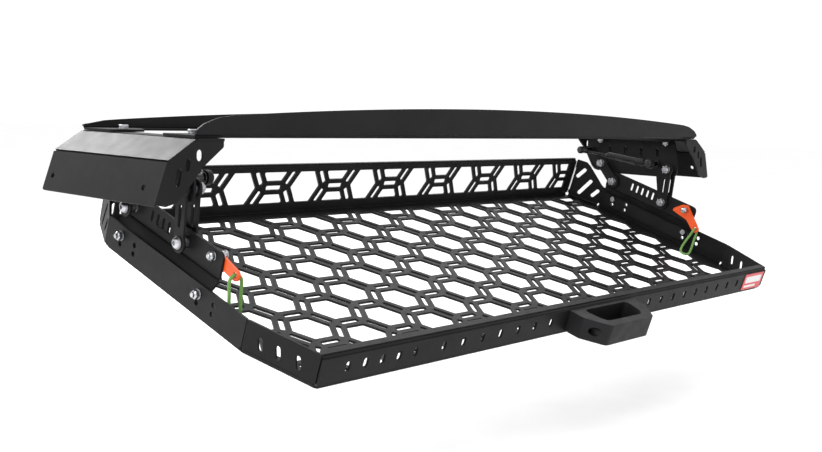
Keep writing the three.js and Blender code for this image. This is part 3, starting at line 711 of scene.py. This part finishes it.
def roof_wing():
    line = middle_line(WING_LINE)
    skirt_holes = [circle(y, WING_HOLE_DOWN, 3.5) for y in WING_HOLES_Y]
    bolt_holes = [circle(s * RAIL_BOLT[1], RAIL_BOLT[0] - line[0][0], RAIL_BOLT_HOLE) for s in (-1, 1)]
    sheet = Sheet()
    sheet.chain(line, -WING_HALF_LENGTH, WING_HALF_LENGTH, {0: bolt_holes, 2: skirt_holes}, (0, 4))
    gusset = rounded([(515, -2.5), (549.5, -2.5), (585.5, -26), (600.5, -71, 2), (590, -73), (578, -70, 10),
                      (568, -63, 12), (543, -32, 10), (515, -9.5, 3)])
    windows = [slot(546.8, -18.4, 13, 8, pi / 2), slot(562, -28.5, 14, 5.5, 1.75),
               slot(574, -42, 20, 6.5, 1.75)]
    for y in (-WING_HALF_LENGTH + SHEET / 2, WING_HALF_LENGTH - SHEET / 2):
        sheet.flat(gusset, windows, on_xz(y))
    return sheet


def cross_rail(sizes, side):
    end, crown = sizes
    wall_y = side * (WING_HALF_LENGTH - SHEET / 2)
    flange_z = 0.4 + SHEET / 2
    bottom = flange_z + BEND_RADIUS
    stations = range(RAIL_CURVE_X, -RAIL_CURVE_X - 1, -25)
    arch = [(x, end + crown * (1 - (x / RAIL_CURVE_X) ** 2)) for x in stations]
    shoulder = [(RAIL_HALF_WIDTH, bottom), (RAIL_HALF_WIDTH, bottom + 0.16 * end, 3), (541, 0.62 * end, 20),
                (522, 0.88 * end, 30)]
    corners = shoulder + arch + [(-c[0], *c[1:]) for c in reversed(shoulder)]
    sheet = Sheet()
    sheet.flat(rounded(corners), [], on_xz(wall_y))
    inner = wall_y - side * BEND_RADIUS
    edge, foot = side * 98, side * 52
    flange = [(RAIL_HALF_WIDTH, inner), (RAIL_HALF_WIDTH, foot, 5), (506, foot, 8), (484, edge, 14),
              (-484, edge, 14), (-506, foot, 8), (-RAIL_HALF_WIDTH, foot, 5), (-RAIL_HALF_WIDTH, inner)]
    holes = [circle(s * RAIL_BOLT[0], side * RAIL_BOLT[1], RAIL_BOLT_HOLE) for s in (-1, 1)]
    sheet.flat(rounded(flange), holes, on_xy(flange_z))
    ends = [(x, wall_y, flange_z) for x in (-RAIL_HALF_WIDTH, RAIL_HALF_WIDTH)]
    sheet.bend(*ends, UP, (0, -side, 0))
    return sheet


def link_bracket():
    top = -SHEET - 0.4 - SHEET / 2
    web_x = LINK_BRACKET_X + SHEET / 2
    low = top - BEND_RADIUS
    outline = rounded([(-86, low), (-94, -40, 14), (-94, -73, 14), (50, -73, 20), (82, -68, 16),
                       (107, -40, 14), (107, low)])
    slots = [slot(y, -27, 18, 6, 1.45) for y in (-50, -15, 20, 55)]
    holes = [circle(*FRONT_UPPER, 4.4), circle(*REAR_UPPER, 4.4), circle(*STRUT_REAR, 3.4)]
    sheet = Sheet()
    sheet.flat(outline, slots + holes, on_yz(web_x))
    inner = web_x - BEND_RADIUS
    flange = rounded([(inner, -86), (inner, 107), (515, 107, 6), (515, -86, 6)])
    sheet.flat(flange, [circle(RAIL_BOLT[0], s * RAIL_BOLT[1], RAIL_BOLT_HOLE) for s in (-1, 1)], on_xy(top))
    sheet.bend((web_x, -86, top), (web_x, 107, top), -UP, (-1, 0, 0))
    return sheet


def add_upper_frame():
    pair("roof_wing", roof_wing(), POWDER_COAT, "frame", "powder_coat")
    for name, sizes, side in (("front_cross_rail", FRONT_RAIL, -1), ("rear_cross_rail", REAR_RAIL, 1)):
        obj = cross_rail(sizes, side).to_object(name + "_shown", POWDER_COAT)
        finish_piece(obj, "frame", "powder_coat", name)
    pair("link_bracket", link_bracket(), POWDER_COAT, "frame", "powder_coat")


# ---------------------------------------------------------------- fasteners


def washer(turned, x, radius, thickness=1.6):
    turned.piece((x, radius - 0.3), (x + 0.3, radius),
                 (x + thickness - 0.3, radius), (x + thickness, radius - 0.3))


def button_head(turned, x, radius=7.0, socket=2.6):
    turned.piece((x, radius - 0.2), (x + 0.5, radius), (x + 1.6, 0.95 * radius), (x + 2.7, 0.8 * radius),
                 (x + 3.6, 0.58 * radius), (x + 3.9, 0.44 * radius), (x + 3.9, socket, "hex"),
                 (x + 1.6, socket, "hex"))


def lock_nut(turned, x, direction, flats=6.5, height=7.0, thread=4.0):
    """Nut with a nylon collar, growing from x in the given direction, and the bolt's end in it."""
    d = direction
    turned.piece((x, flats, "hex"), (x + d * 0.72 * height, flats, "hex"),
                 (x + d * 0.8 * height, flats * 0.93), (x + d * height, flats * 0.8),
                 (x + d * height, thread + 0.2), (x + d * 0.7 * height, thread + 0.2))
    turned.piece((x + d * 0.5 * height, thread - 0.1), (x + d * (height + 1.2), thread - 0.1),
                 (x + d * (height + 1.8), thread - 0.8))


def pivot_bolt(point, plate_x):
    turned = Turned(Matrix.Translation((0, *point)))
    outer = OUTER_LINK_X + SHEET
    washer(turned, outer + 0.1, 7.6)
    button_head(turned, outer + 1.7)
    turned.piece((INNER_LINK_X - 1, 3.9), (outer + 1, 3.9))
    turned.piece((INNER_LINK_X + SHEET + 0.2, 7), (plate_x - 0.2, 7))
    turned.piece((plate_x + SHEET + 0.2, 7), (OUTER_LINK_X - 0.2, 7))
    washer(turned, INNER_LINK_X - 1.7, 7.3)
    lock_nut(turned, INNER_LINK_X - 1.8, -1)
    return turned


def rail_bolt(side):
    upright = Matrix.Translation((RAIL_BOLT[0], side * RAIL_BOLT[1], 0)) @ Matrix.Rotation(-pi / 2, 4, "Y")
    turned = Turned(upright)
    top = SHEET + 0.5
    washer(turned, top, 6.1, 1.2)
    turned.piece((top + 1.3, 4.9, "hex"), (top + 4.4, 4.9, "hex"), (top + 4.9, 4.5))
    turned.piece((-8, 2.9), (top + 2, 2.9))
    washer(turned, -2 * SHEET - 0.6 - 1.2, 6.1, 1.2)
    lock_nut(turned, -2 * SHEET - 1.9, -1, 5.0, 5.2, 3.0)
    return turned


def side_bolt(point):
    turned = Turned(TRAY @ Matrix.Translation((0, *point)))
    washer(turned, WALL_X + 0.1, 6.1, 1.2)
    lock_nut(turned, WALL_X + 1.4, 1, 5.0, 5.6, 3.0)
    inner = BRACKET_LINE[-1][0] - SHEET
    turned.piece((inner - 4.4, 4.6, "hex"), (inner - 0.3, 5.0, "hex"))
    turned.piece((inner - 1, 2.9), (WALL_X + 8.6, 2.9), (WALL_X + 9, 2.4))
    return turned


def latch_bolt():
    place = TRAY @ Matrix.Translation((0, *LATCH_PIVOT))
    outer = TRAY_BRACKET_X + SHEET
    face = LATCH_SHOULDER - LATCH_X
    head = Turned(place @ MIRROR)
    button_head(head, face, 5.6, 2.0)
    turned = Turned(place)
    turned.piece((-face - 1, 4.7), (LATCH_X - 0.3, 4.7))
    turned.piece((-face - 1, 2.9), (outer + 1, 2.9))
    washer(turned, outer + 0.1, 5.6, 0.8)
    lock_nut(turned, outer + 1.0, 1, 5.0, 5.2, 3.0)
    merged = bpy.data.meshes.new("merged")
    head.bm.to_mesh(merged)
    turned.bm.from_mesh(merged)
    bpy.data.meshes.remove(merged)
    return turned


def strut_stud(point, plate_x, flange):
    turned = Turned(Matrix.Translation((0, *point)))
    turned.piece((STRUT_X - 6, flange - 1), (STRUT_X - 5.4, flange), (STRUT_X - 3.9, flange))
    turned.piece((STRUT_X - 5, 2.9), (plate_x + 1, 2.9))
    turned.piece((STRUT_X + 3.9, flange - 0.4), (STRUT_X + 4.6, flange), (STRUT_X + 6, flange),
                 (STRUT_X + 7.5, 4.6), (plate_x - 4, 4.6),
                 (plate_x - 4, 5.2, "hex"), (plate_x - 0.2, 5.2, "hex"))
    turned.piece((plate_x + SHEET + 0.1, 4.9), (plate_x + SHEET + 1.6, 4.6), (plate_x + SHEET + 1.9, 3.8))
    return turned


def add_fasteners():
    pair("front_rail_bolt", rail_bolt(-1), ZINC, "frame", "zinc")
    pair("rear_rail_bolt", rail_bolt(1), ZINC, "frame", "zinc")
    pair("front_upper_pivot", pivot_bolt(FRONT_UPPER, LINK_BRACKET_X), ZINC, "frame", "zinc")
    pair("rear_upper_pivot", pivot_bolt(REAR_UPPER, LINK_BRACKET_X), ZINC, "frame", "zinc")
    pair("front_lower_pivot", pivot_bolt(FRONT_LOWER, TRAY_BRACKET_X), ZINC, "tray", "zinc")
    pair("rear_lower_pivot", pivot_bolt(REAR_LOWER, TRAY_BRACKET_X), ZINC, "rear_links", "zinc")
    pair("strut_rear_stud", strut_stud(STRUT_REAR, LINK_BRACKET_X, 5), DARK_STEEL, "frame", "zinc")
    pair("strut_front_stud", strut_stud(STRUT_FRONT, INNER_LINK_X, 7), DARK_STEEL, "front_links", "zinc")
    pair("front_side_bolt", side_bolt(SIDE_BOLTS[0]), ZINC, "tray", "zinc")
    pair("rear_side_bolt", side_bolt(SIDE_BOLTS[1]), ZINC, "tray", "zinc")
    pair("latch_bolt", latch_bolt(), ZINC, "tray", "zinc")


# ---------------------------------------------------------------- links and struts


def link_outline(upper, lower):
    """Bar between two round bosses that are a little wider than it."""
    start, end = Vector(upper), Vector(lower)
    along = (end - start).normalized()
    base = atan2(along.y, along.x)
    open_angle = atan2(LINK_HALF_WIDTH, (LINK_BOSS ** 2 - LINK_HALF_WIDTH ** 2) ** 0.5)
    return (arc(end.x, end.y, LINK_BOSS, base - pi + open_angle, base + pi - open_angle, 14)
            + arc(start.x, start.y, LINK_BOSS, base + open_angle, base + 2 * pi - open_angle, 14))


def link_bar(upper, lower, x, slotted, ear=None):
    outline = link_outline(upper, lower)
    holes = [circle(*upper, 4.3), circle(*lower, 4.3)]
    if slotted:
        start, end = Vector(upper), Vector(lower)
        holes.append(slot_between(start.lerp(end, 0.33), start.lerp(end, 0.67), 5.5))
    if ear:
        outline = with_ear(outline, upper, ear)
        holes.append(circle(*ear, 3.3))
    return plate(outline, holes, on_yz(x + SHEET / 2))


def with_ear(outline, upper, ear):
    """The bar's outline with the part facing the ear replaced by the ear's round end."""
    start, tip = Vector(upper), Vector(ear)
    direction = (tip - start).normalized()
    across = Vector((-direction.y, direction.x))
    kept = [p for p in outline if not is_beside(Vector(p) - start, direction, across, 8.0)]
    angle = atan2(direction.y, direction.x)
    bulge = arc(tip.x, tip.y, 7.5, angle - pi / 2, angle + pi / 2, 8)
    first = max(range(len(kept)), key=lambda i: (Vector(kept[i]) - Vector(kept[i - 1])).length)
    return kept[first:] + kept[:first] + bulge


def is_beside(offset, direction, across, half_width):
    return offset.dot(direction) > 0 and abs(offset.dot(across)) < half_width


def strut_place():
    angle = atan2(STRUT_REAR[1] - STRUT_FRONT[1], STRUT_REAR[0] - STRUT_FRONT[0])
    lengthways = axes((0, 0, 0), (0, cos(angle), sin(angle)), (1, 0, 0))
    return Matrix.Translation((STRUT_X, *STRUT_FRONT)) @ lengthways


def strut_length():
    return hypot(STRUT_REAR[0] - STRUT_FRONT[0], STRUT_REAR[1] - STRUT_FRONT[1])


def strut_cylinder():
    turned = Turned(strut_place())
    end = strut_length() - 60
    turned.piece((28, 6.9), (28.8, 7.4), (end - 5, 7.4), (end - 3, 7.0), (end - 1.2, 5.6),
                 (end, 4.6), (end, 3.4), (end - 3, 3.4))
    return turned


def strut_cap():
    turned = Turned(strut_place())
    turned.piece((7.4, 3.1), (9.8, 3.4), (12, 5.6), (15, 7.3), (27.4, 7.3), (28.2, 6.6))
    return turned


def strut_rod():
    turned = Turned(strut_place())
    length = strut_length()
    turned.piece((length - 76, 2.9), (length - 14, 2.9))
    return turned


def strut_end():
    turned = Turned(strut_place())
    length = strut_length()
    turned.piece((length - 17, 3.6), (length - 16, 4.8), (length - 7.5, 4.8), (length - 6.4, 4.2))
    return turned


def add_links_and_struts():
    links = (("front_link", FRONT_UPPER, FRONT_LOWER, "front_links", True),
             ("rear_link", REAR_UPPER, REAR_LOWER, "rear_links", False))
    for name, upper, lower, body, slotted in links:
        ear = STRUT_FRONT if name == "front_link" else None
        outer = link_bar(upper, lower, OUTER_LINK_X, slotted)
        pair(name + "_outer", outer, POWDER_COAT, body, "powder_coat")
        inner = link_bar(upper, lower, INNER_LINK_X, slotted, ear)
        pair(name + "_inner", inner, POWDER_COAT, body, "powder_coat")
    pair("strut_cylinder", strut_cylinder(), STRUT_BLACK, "strut_cylinders", "strut_black")
    pair("strut_cap", strut_cap(), SOCKET_PLASTIC, "strut_cylinders", "strut_black", has_node=False)
    ring = [circle(*STRUT_FRONT, 9), [circle(*STRUT_FRONT, STRUT_FLOAT + 3)]]
    pair("strut_front_ring", plate(*ring, on_yz(STRUT_X)), SOCKET_PLASTIC, "strut_cylinders", "strut_black",
         has_node=False, thickness=7, bevel=0.8)
    pair("strut_rod", strut_rod(), ROD, "strut_rods", "rod_steel")
    pair("strut_end", strut_end(), SOCKET_PLASTIC, "strut_rods", "strut_black", has_node=False)
    ring = [circle(*STRUT_REAR, 7), [circle(*STRUT_REAR, 3.4)]]
    pair("strut_rear_ring", plate(*ring, on_yz(STRUT_X)), SOCKET_PLASTIC, "strut_rods", "strut_black",
         has_node=False, thickness=7, bevel=0.8)


# ---------------------------------------------------------------- tray


FOOTPRINT = [(-LIP_HALF_WIDTH, LIP_Y), (LIP_HALF_WIDTH, LIP_Y),
             (WALL_X, FRONT_BEND_Y), (WALL_X, REAR_BEND_Y),
             (REAR_HALF_WIDTH, REAR_Y), (-REAR_HALF_WIDTH, REAR_Y),
             (-WALL_X, REAR_BEND_Y), (-WALL_X, FRONT_BEND_Y)]
FLOOR_Z = -SHEET / 2


def middle_footprint():
    """Corners of the walls' middle surfaces."""
    result = []
    for i, corner in enumerate(FOOTPRINT):
        here = Vector(corner)
        before = (here - Vector(FOOTPRINT[i - 1])).normalized()
        after = (Vector(FOOTPRINT[(i + 1) % len(FOOTPRINT)]) - here).normalized()
        inward = Vector((-before.y - after.y, before.x + after.x)).normalized()
        stretch = SHEET / 2 / (inward.x * -before.y + inward.y * before.x)
        result.append(here + inward * stretch)
    return result


def floor_cells():
    cells = []
    for column in range(-8, 9):
        for row in range(-4, 5):
            x, y = column * COLUMN, (row + (column % 2) / 2) * PITCH
            if abs(y) < 250:
                cells.append(hexagon(x, y))
                cells += [band_slot(x, y, radians(angle)) for angle in (30, 90, 150)]
    return cells


def corner_limits():
    """A point and an inward direction for the pattern's limit along each angled corner."""
    points = middle_footprint()
    limits = []
    for i in (1, 3, 5, 7):
        along = (points[(i + 1) % 8] - points[i]).normalized()
        inward = Vector((-along.y, along.x))
        limits.append((points[i] + inward * (BEND_RADIUS + CORNER_RIM), inward))
    return limits


def floor_holes():
    holes = clipped_cells(floor_cells(), -FLOOR_CLIP_Y, FLOOR_CLIP_Y, 526, corner_limits())
    drains = [(s * 531, y) for s in (-1, 1) for y in (-105, 0, 105)]
    return holes + [circle(x, y, 2.6, 12) for x, y in drains]


def lip_holes():
    places = [LIP_SLOT_OFFSET + LIP_SLOT_PITCH * n for n in range(-9, 13) if n <= -3 or n >= 4]
    places += [-475 + 26 * n for n in range(5)]
    screws = [circle(s * HANDLE_SCREW[0], HANDLE_SCREW[1], 3) for s in (-1, 1)]
    return [slot(x, 20, 13, 7, pi / 2) for x in places] + screws


def rear_holes():
    low, high = PATTERN_Z - HEX_FLATS / 2, PATTERN_Z + HEX_FLATS / 2
    cells = []
    for column in range(-8, 9):
        x = column * COLUMN
        if column % 2:
            cells.append(hexagon(x, PATTERN_Z))
            cells += [band_slot(x, PATTERN_Z, radians(angle)) for angle in (30, 150, 210, 330)]
        elif column > -8:
            cells += [hexagon(x, PATTERN_Z - PITCH / 2), hexagon(x, PATTERN_Z + PITCH / 2)]
            cells.append(band_slot(x, PATTERN_Z - PITCH / 2, pi / 2))
    holes = clipped_cells(cells, low, high, 493)
    holes = [h for h in holes if min(p[0] for p in h) > -458]
    return holes + [slot(-500 + 13 * n, 20, 17, 5, pi / 2) for n in range(4)]


def side_hole_places():
    """Each side bolt's hole, with a spare one below it and two more in front."""
    return [(y + dy, z + dz) for y, z in SIDE_BOLTS for dy, dz in ((0, 0), (0, -11), (-30, 0), (-30, -11))]


def corner_slots(length, mirrored, front):
    """Slots of an angled corner panel, by distance along it and height."""
    if front:
        slots = [slot(u, 18, 16, 6.5, 1.3) for u in (27, 53, 76)]
    else:
        slots = [slot_between((46, 59), (56, 43), 7), slot_between((28, 41), (44, 12), 7),
                 slot_between((9, 27), (17, 15), 7), slot_between((65, 12), (65, 58), 1.6)]
    return [[(length - u, z) for u, z in s] for s in slots] if mirrored else slots


class Wall:
    """One wall of the tray: its height, end reliefs, end overlaps and holes."""

    def __init__(self, holes=(), top=None, relief=(4, 4), overlap=(-1, -1)):
        self.holes, self.top, self.relief, self.overlap = list(holes), top, relief, overlap

    def outline(self, length):
        """Outline [distance along the fold, height above the floor's top face]."""
        low = FLOOR_Z + BEND_RADIUS
        (ra, rb), (oa, ob) = self.relief, self.overlap
        top = self.top(length) if self.top else [(length - ob, WALL_HEIGHT, 1.5), (oa, WALL_HEIGHT, 1.5)]
        return rounded([(ra, low), (length - rb, low), (length - rb, low + 3), (length - ob, low + 3)] + top
                       + [(oa, low + 3), (ra, low + 3)])


def flanged_top(height):
    """Top edge of a wall that carries a return flange, as a function of the wall's length."""
    def top(length):
        return [(length + 1, height), (-1, height)]
    return top


def rising_top(length):
    """Top edge that climbs from a side wall to the rear wall."""
    return [(length - 2.6, REAR_HEIGHT, 2), (46, REAR_HEIGHT, 6), (38, 70, 8), (5, 41, 6), (0.6, WALL_HEIGHT)]


def falling_top(length):
    """Top edge that drops from the rear wall to a side wall."""
    return [(length - 0.6, WALL_HEIGHT), (length - 5, 41, 6), (length - 38, 70, 8),
            (length - 46, REAR_HEIGHT, 6), (2.6, REAR_HEIGHT, 2)]


def tray_walls():
    points = middle_footprint()
    lengths = [(points[(i + 1) % 8] - points[i]).length for i in range(8)]
    along_lip = [[(x + lengths[0] / 2, z) for x, z in hole] for hole in lip_holes()]
    along_rear = [[(lengths[4] / 2 - x, z) for x, z in hole] for hole in rear_holes()]
    side_holes = [circle(y - FRONT_BEND_Y, z, 3.4, 14) for y, z in side_hole_places()]
    mirrored_side = [[(lengths[2] - u, z) for u, z in hole] for hole in side_holes]
    lip_top = WALL_HEIGHT - SHEET / 2 - BEND_RADIUS
    rear_top = REAR_HEIGHT - SHEET / 2 - BEND_RADIUS
    return [
        Wall(along_lip, flanged_top(lip_top)),
        Wall(corner_slots(lengths[1], False, True), None, (5, 2), (2.6, 0.6)),
        Wall(side_holes, None, (2, 2), (-0.2, -0.2)),
        Wall(corner_slots(lengths[3], False, False), rising_top, (2, 5), (0.6, 2.6)),
        Wall(along_rear, flanged_top(rear_top)),
        Wall(corner_slots(lengths[5], True, False), falling_top, (5, 2), (2.6, 0.6)),
        Wall(mirrored_side, None, (2, 2), (-0.2, -0.2)),
        Wall(corner_slots(lengths[7], True, True), None, (2, 5), (0.6, 2.6)),
    ]


def tray_pan():
    sheet = Sheet(TRAY)
    points = middle_footprint()
    walls = tray_walls()
    floor_outline = []
    for i, wall in enumerate(walls):
        start, end = points[i], points[(i + 1) % 8]
        along = (end - start).normalized()
        inward = Vector((-along.y, along.x))
        first, last = start + along * wall.relief[0], end - along * wall.relief[1]
        floor_outline += [tuple(first + inward * BEND_RADIUS), tuple(last + inward * BEND_RADIUS)]
        ends = [(*first, FLOOR_Z), (*last, FLOOR_Z)]
        sheet.bend(*ends, (*inward, 0), UP)
        panel = axes((*start, 0), (*along, 0), UP)
        sheet.flat(wall.outline((end - start).length), wall.holes, panel)
    sheet.flat(floor_outline, floor_holes(), on_xy(FLOOR_Z))
    add_return(sheet, points[0], points[1], WALL_HEIGHT, LIP_RETURN, 1)
    add_return(sheet, points[4], points[5], REAR_HEIGHT, REAR_RETURN, -1)
    return sheet


def add_return(sheet, start, end, height, depth, direction):
    """Flange folded over at the top of a wall, inwards (1) or outwards (-1)."""
    along = (end - start).normalized()
    over = Vector((-along.y, along.x)) * direction
    z = height - SHEET / 2
    first, last = start - along, end + along
    sheet.bend((*first, z), (*last, z), -UP, (*over, 0))
    length = (last - first).length
    width = depth - SHEET / 2
    outline = rounded([(0, BEND_RADIUS), (length, BEND_RADIUS), (length - 5, width, 2), (5, width, 2)])
    if direction < 0:
        outline = rounded([(0, BEND_RADIUS), (length, BEND_RADIUS), (length, width, 2), (0, width, 2)])
    sheet.flat(outline, [], axes((*first, z), (*along, 0), (*over, 0)))


def tray_bracket():
    line = middle_line(BRACKET_LINE)
    top = line[0][1]
    sheet = Sheet(TRAY)
    bores = ((*FRONT_LOWER_ON_TRAY, 4.3), REAR_CLEARANCE, (*LATCH_PIVOT, 4.3))
    upright = [circle(y, top - z, radius) for y, z, radius in bores]
    upright += [slot(y, top - 66, 15, 5, pi / 2) for y in (42, 54, 66, 78, 90)]
    base = [circle(y, line[2][1] - z, 3.4, 14) for y, z in side_hole_places() if y > BRACKET_Y[0]]
    sheet.chain(line, *BRACKET_Y, {0: upright, 2: base}, (10, 4))
    return sheet


def latch_lever(turn):
    """Lever with a blunt nose behind its pivot and a straight tail towards the lip."""
    corners = [(26, -11, 3), (25, -6, 3), (10, 6.5, 7), (-1, 9.5, 6), (-7, 3.5, 5), (-38.6, -25.3, 6.4),
               (-30.2, -35, 6.4), (-6.5, -16.5, 8), (10, -14, 6)]
    holes = [circle(0, 0, 3.3), circle(*LATCH_TAIL, 3.2)]
    return plate(rounded(corners, steps=5), holes, on_yz(LATCH_X + SHEET / 2), lever_place(turn))


# ---------------------------------------------------------------- pull handle and label


def prism(outline, low, high, place, taper=0.0):
    """Solid with an [x, y] outline, narrowed towards its top by the taper."""
    bm = bmesh.new()
    middle = sum((Vector(p) for p in outline), Vector((0, 0))) / len(outline)
    rings = []
    for z, shrink in ((low, 0.0), (high, taper)):
        ring = []
        for p in outline:
            offset = Vector(p) - middle
            q = middle + offset * (1 - shrink / max(offset.length, 1e-6))
            ring.append(bm.verts.new(place @ Vector((q.x, q.y, z)) * MM))
        rings.append(ring)
    for k in range(len(outline)):
        n = (k + 1) % len(outline)
        bm.faces.new((rings[0][k], rings[0][n], rings[1][n], rings[1][k]))
    bm.faces.new(list(reversed(rings[0])))
    bm.faces.new(rings[1])
    bmesh.ops.recalc_face_normals(bm, faces=bm.faces)
    return bm


def carve(obj, cutter):
    cut = obj.modifiers.new("cut", "BOOLEAN")
    cut.operation = "DIFFERENCE"
    cut.solver = "EXACT"
    cut.object = cutter
    apply_modifiers(obj)
    bpy.data.objects.remove(cutter)


def pull_handle():
    back = LIP_Y - 0.4
    outline = rounded([(-77, back), (-76, back - 24, 6), (-52, back - 54, 12), (52, back - 54, 12),
                       (76, back - 24, 6), (77, back)], steps=5)
    handle = new_object("pull_handle_shown", prism(outline, 4, 34, TRAY), MOULDED)
    cup = rounded([(-51, back - 6, 8), (-44, back - 40, 14), (44, back - 40, 14), (51, back - 6, 8)], steps=5)
    carve(handle, new_object("cup", prism(cup, 9, 50, TRAY, -3), MOULDED))
    for side in (-1, 1):
        x, z, seat = side * HANDLE_SCREW[0], HANDLE_SCREW[1], HANDLE_SCREW[2]
        along_y = Matrix.Translation((x, 0, z)) @ Matrix.Rotation(-pi / 2, 4, "Z")
        bore = Turned(TRAY @ along_y)
        bore.piece((-back + seat, 6), (-back + 60, 6))
        shank = Turned(TRAY @ along_y)
        shank.piece((-back - 5, 2.8), (-back + 60, 2.8))
        carve(handle, new_object("bore", bore.bm, MOULDED))
        carve(handle, new_object("shank", shank.bm, MOULDED))
    soften(handle, 1.6, segments=3, angle=50)
    return handle


def handle_screw():
    place = TRAY @ Matrix.Translation((HANDLE_SCREW[0], 0, HANDLE_SCREW[1]))
    turned = Turned(place @ Matrix.Rotation(-pi / 2, 4, "Z"))
    seat = -LIP_Y + 0.4 + HANDLE_SCREW[2]
    button_head(turned, seat + 0.3, 4.7, 1.6)
    turned.piece((-LIP_Y - SHEET - 6, 2.5), (seat + 1, 2.5))
    lock_nut(turned, -LIP_Y - SHEET - 0.3, -1, 4.0, 4.4, 2.5)
    return turned


def lip_label():
    """Plain film label: a red field with a pale panel and a pale bar."""
    x0, x1, z0, z1 = LABEL_SPAN
    y = LIP_Y - 0.7
    field = plate(rounded(box_outline(x0, x1, z0, z1), radius=2), [], on_xz(y), TRAY)
    red = field.to_object("lip_label_shown", LABEL_RED, thickness=0.5, bevel=0.1)
    finish_piece(red, "tray", "label", "lip_label")
    bars = Sheet(TRAY)
    bars.flat(rounded(box_outline(x0 + 6, x1 - 6, z0 + 12, z1 - 5), radius=1), [], on_xz(y - 0.3))
    bars.flat(rounded(box_outline(x0 + 6, x1 - 20, z0 + 4, z0 + 8), radius=0.8), [], on_xz(y - 0.3))
    white = bars.to_object("lip_label_print", LABEL_WHITE, thickness=0.15, bevel=0.03)
    finish_piece(white, "tray", "label")


def add_tray():
    pan = tray_pan().to_object("tray_pan_shown", POWDER_COAT)
    nodes = ["tray_floor", "front_lip", "rear_wall"]
    for name in ("front_corner", "side_wall", "rear_corner"):
        nodes += [f"{name}_left", f"{name}_right"]
    finish_piece(pan, "tray", "powder_coat", *nodes)
    pair("tray_bracket", tray_bracket(), POWDER_COAT, "tray", "powder_coat")
    for side, turn in (("right", 0), ("left", LEFT_LEVER_TURN)):
        name = f"latch_lever_{side}"
        lever = latch_lever(turn).to_object(name + "_shown", ORANGE_COAT, mirror=side == "left")
        finish_piece(lever, f"latch_{side}", "orange", name)
    finish_piece(pull_handle(), "tray", "moulded", "pull_handle")
    pair("handle_screw", handle_screw(), ZINC, "tray", "zinc")
    lip_label()


add_upper_frame()
add_fasteners()
add_links_and_struts()
add_tray()
add_floor()
add_lights()
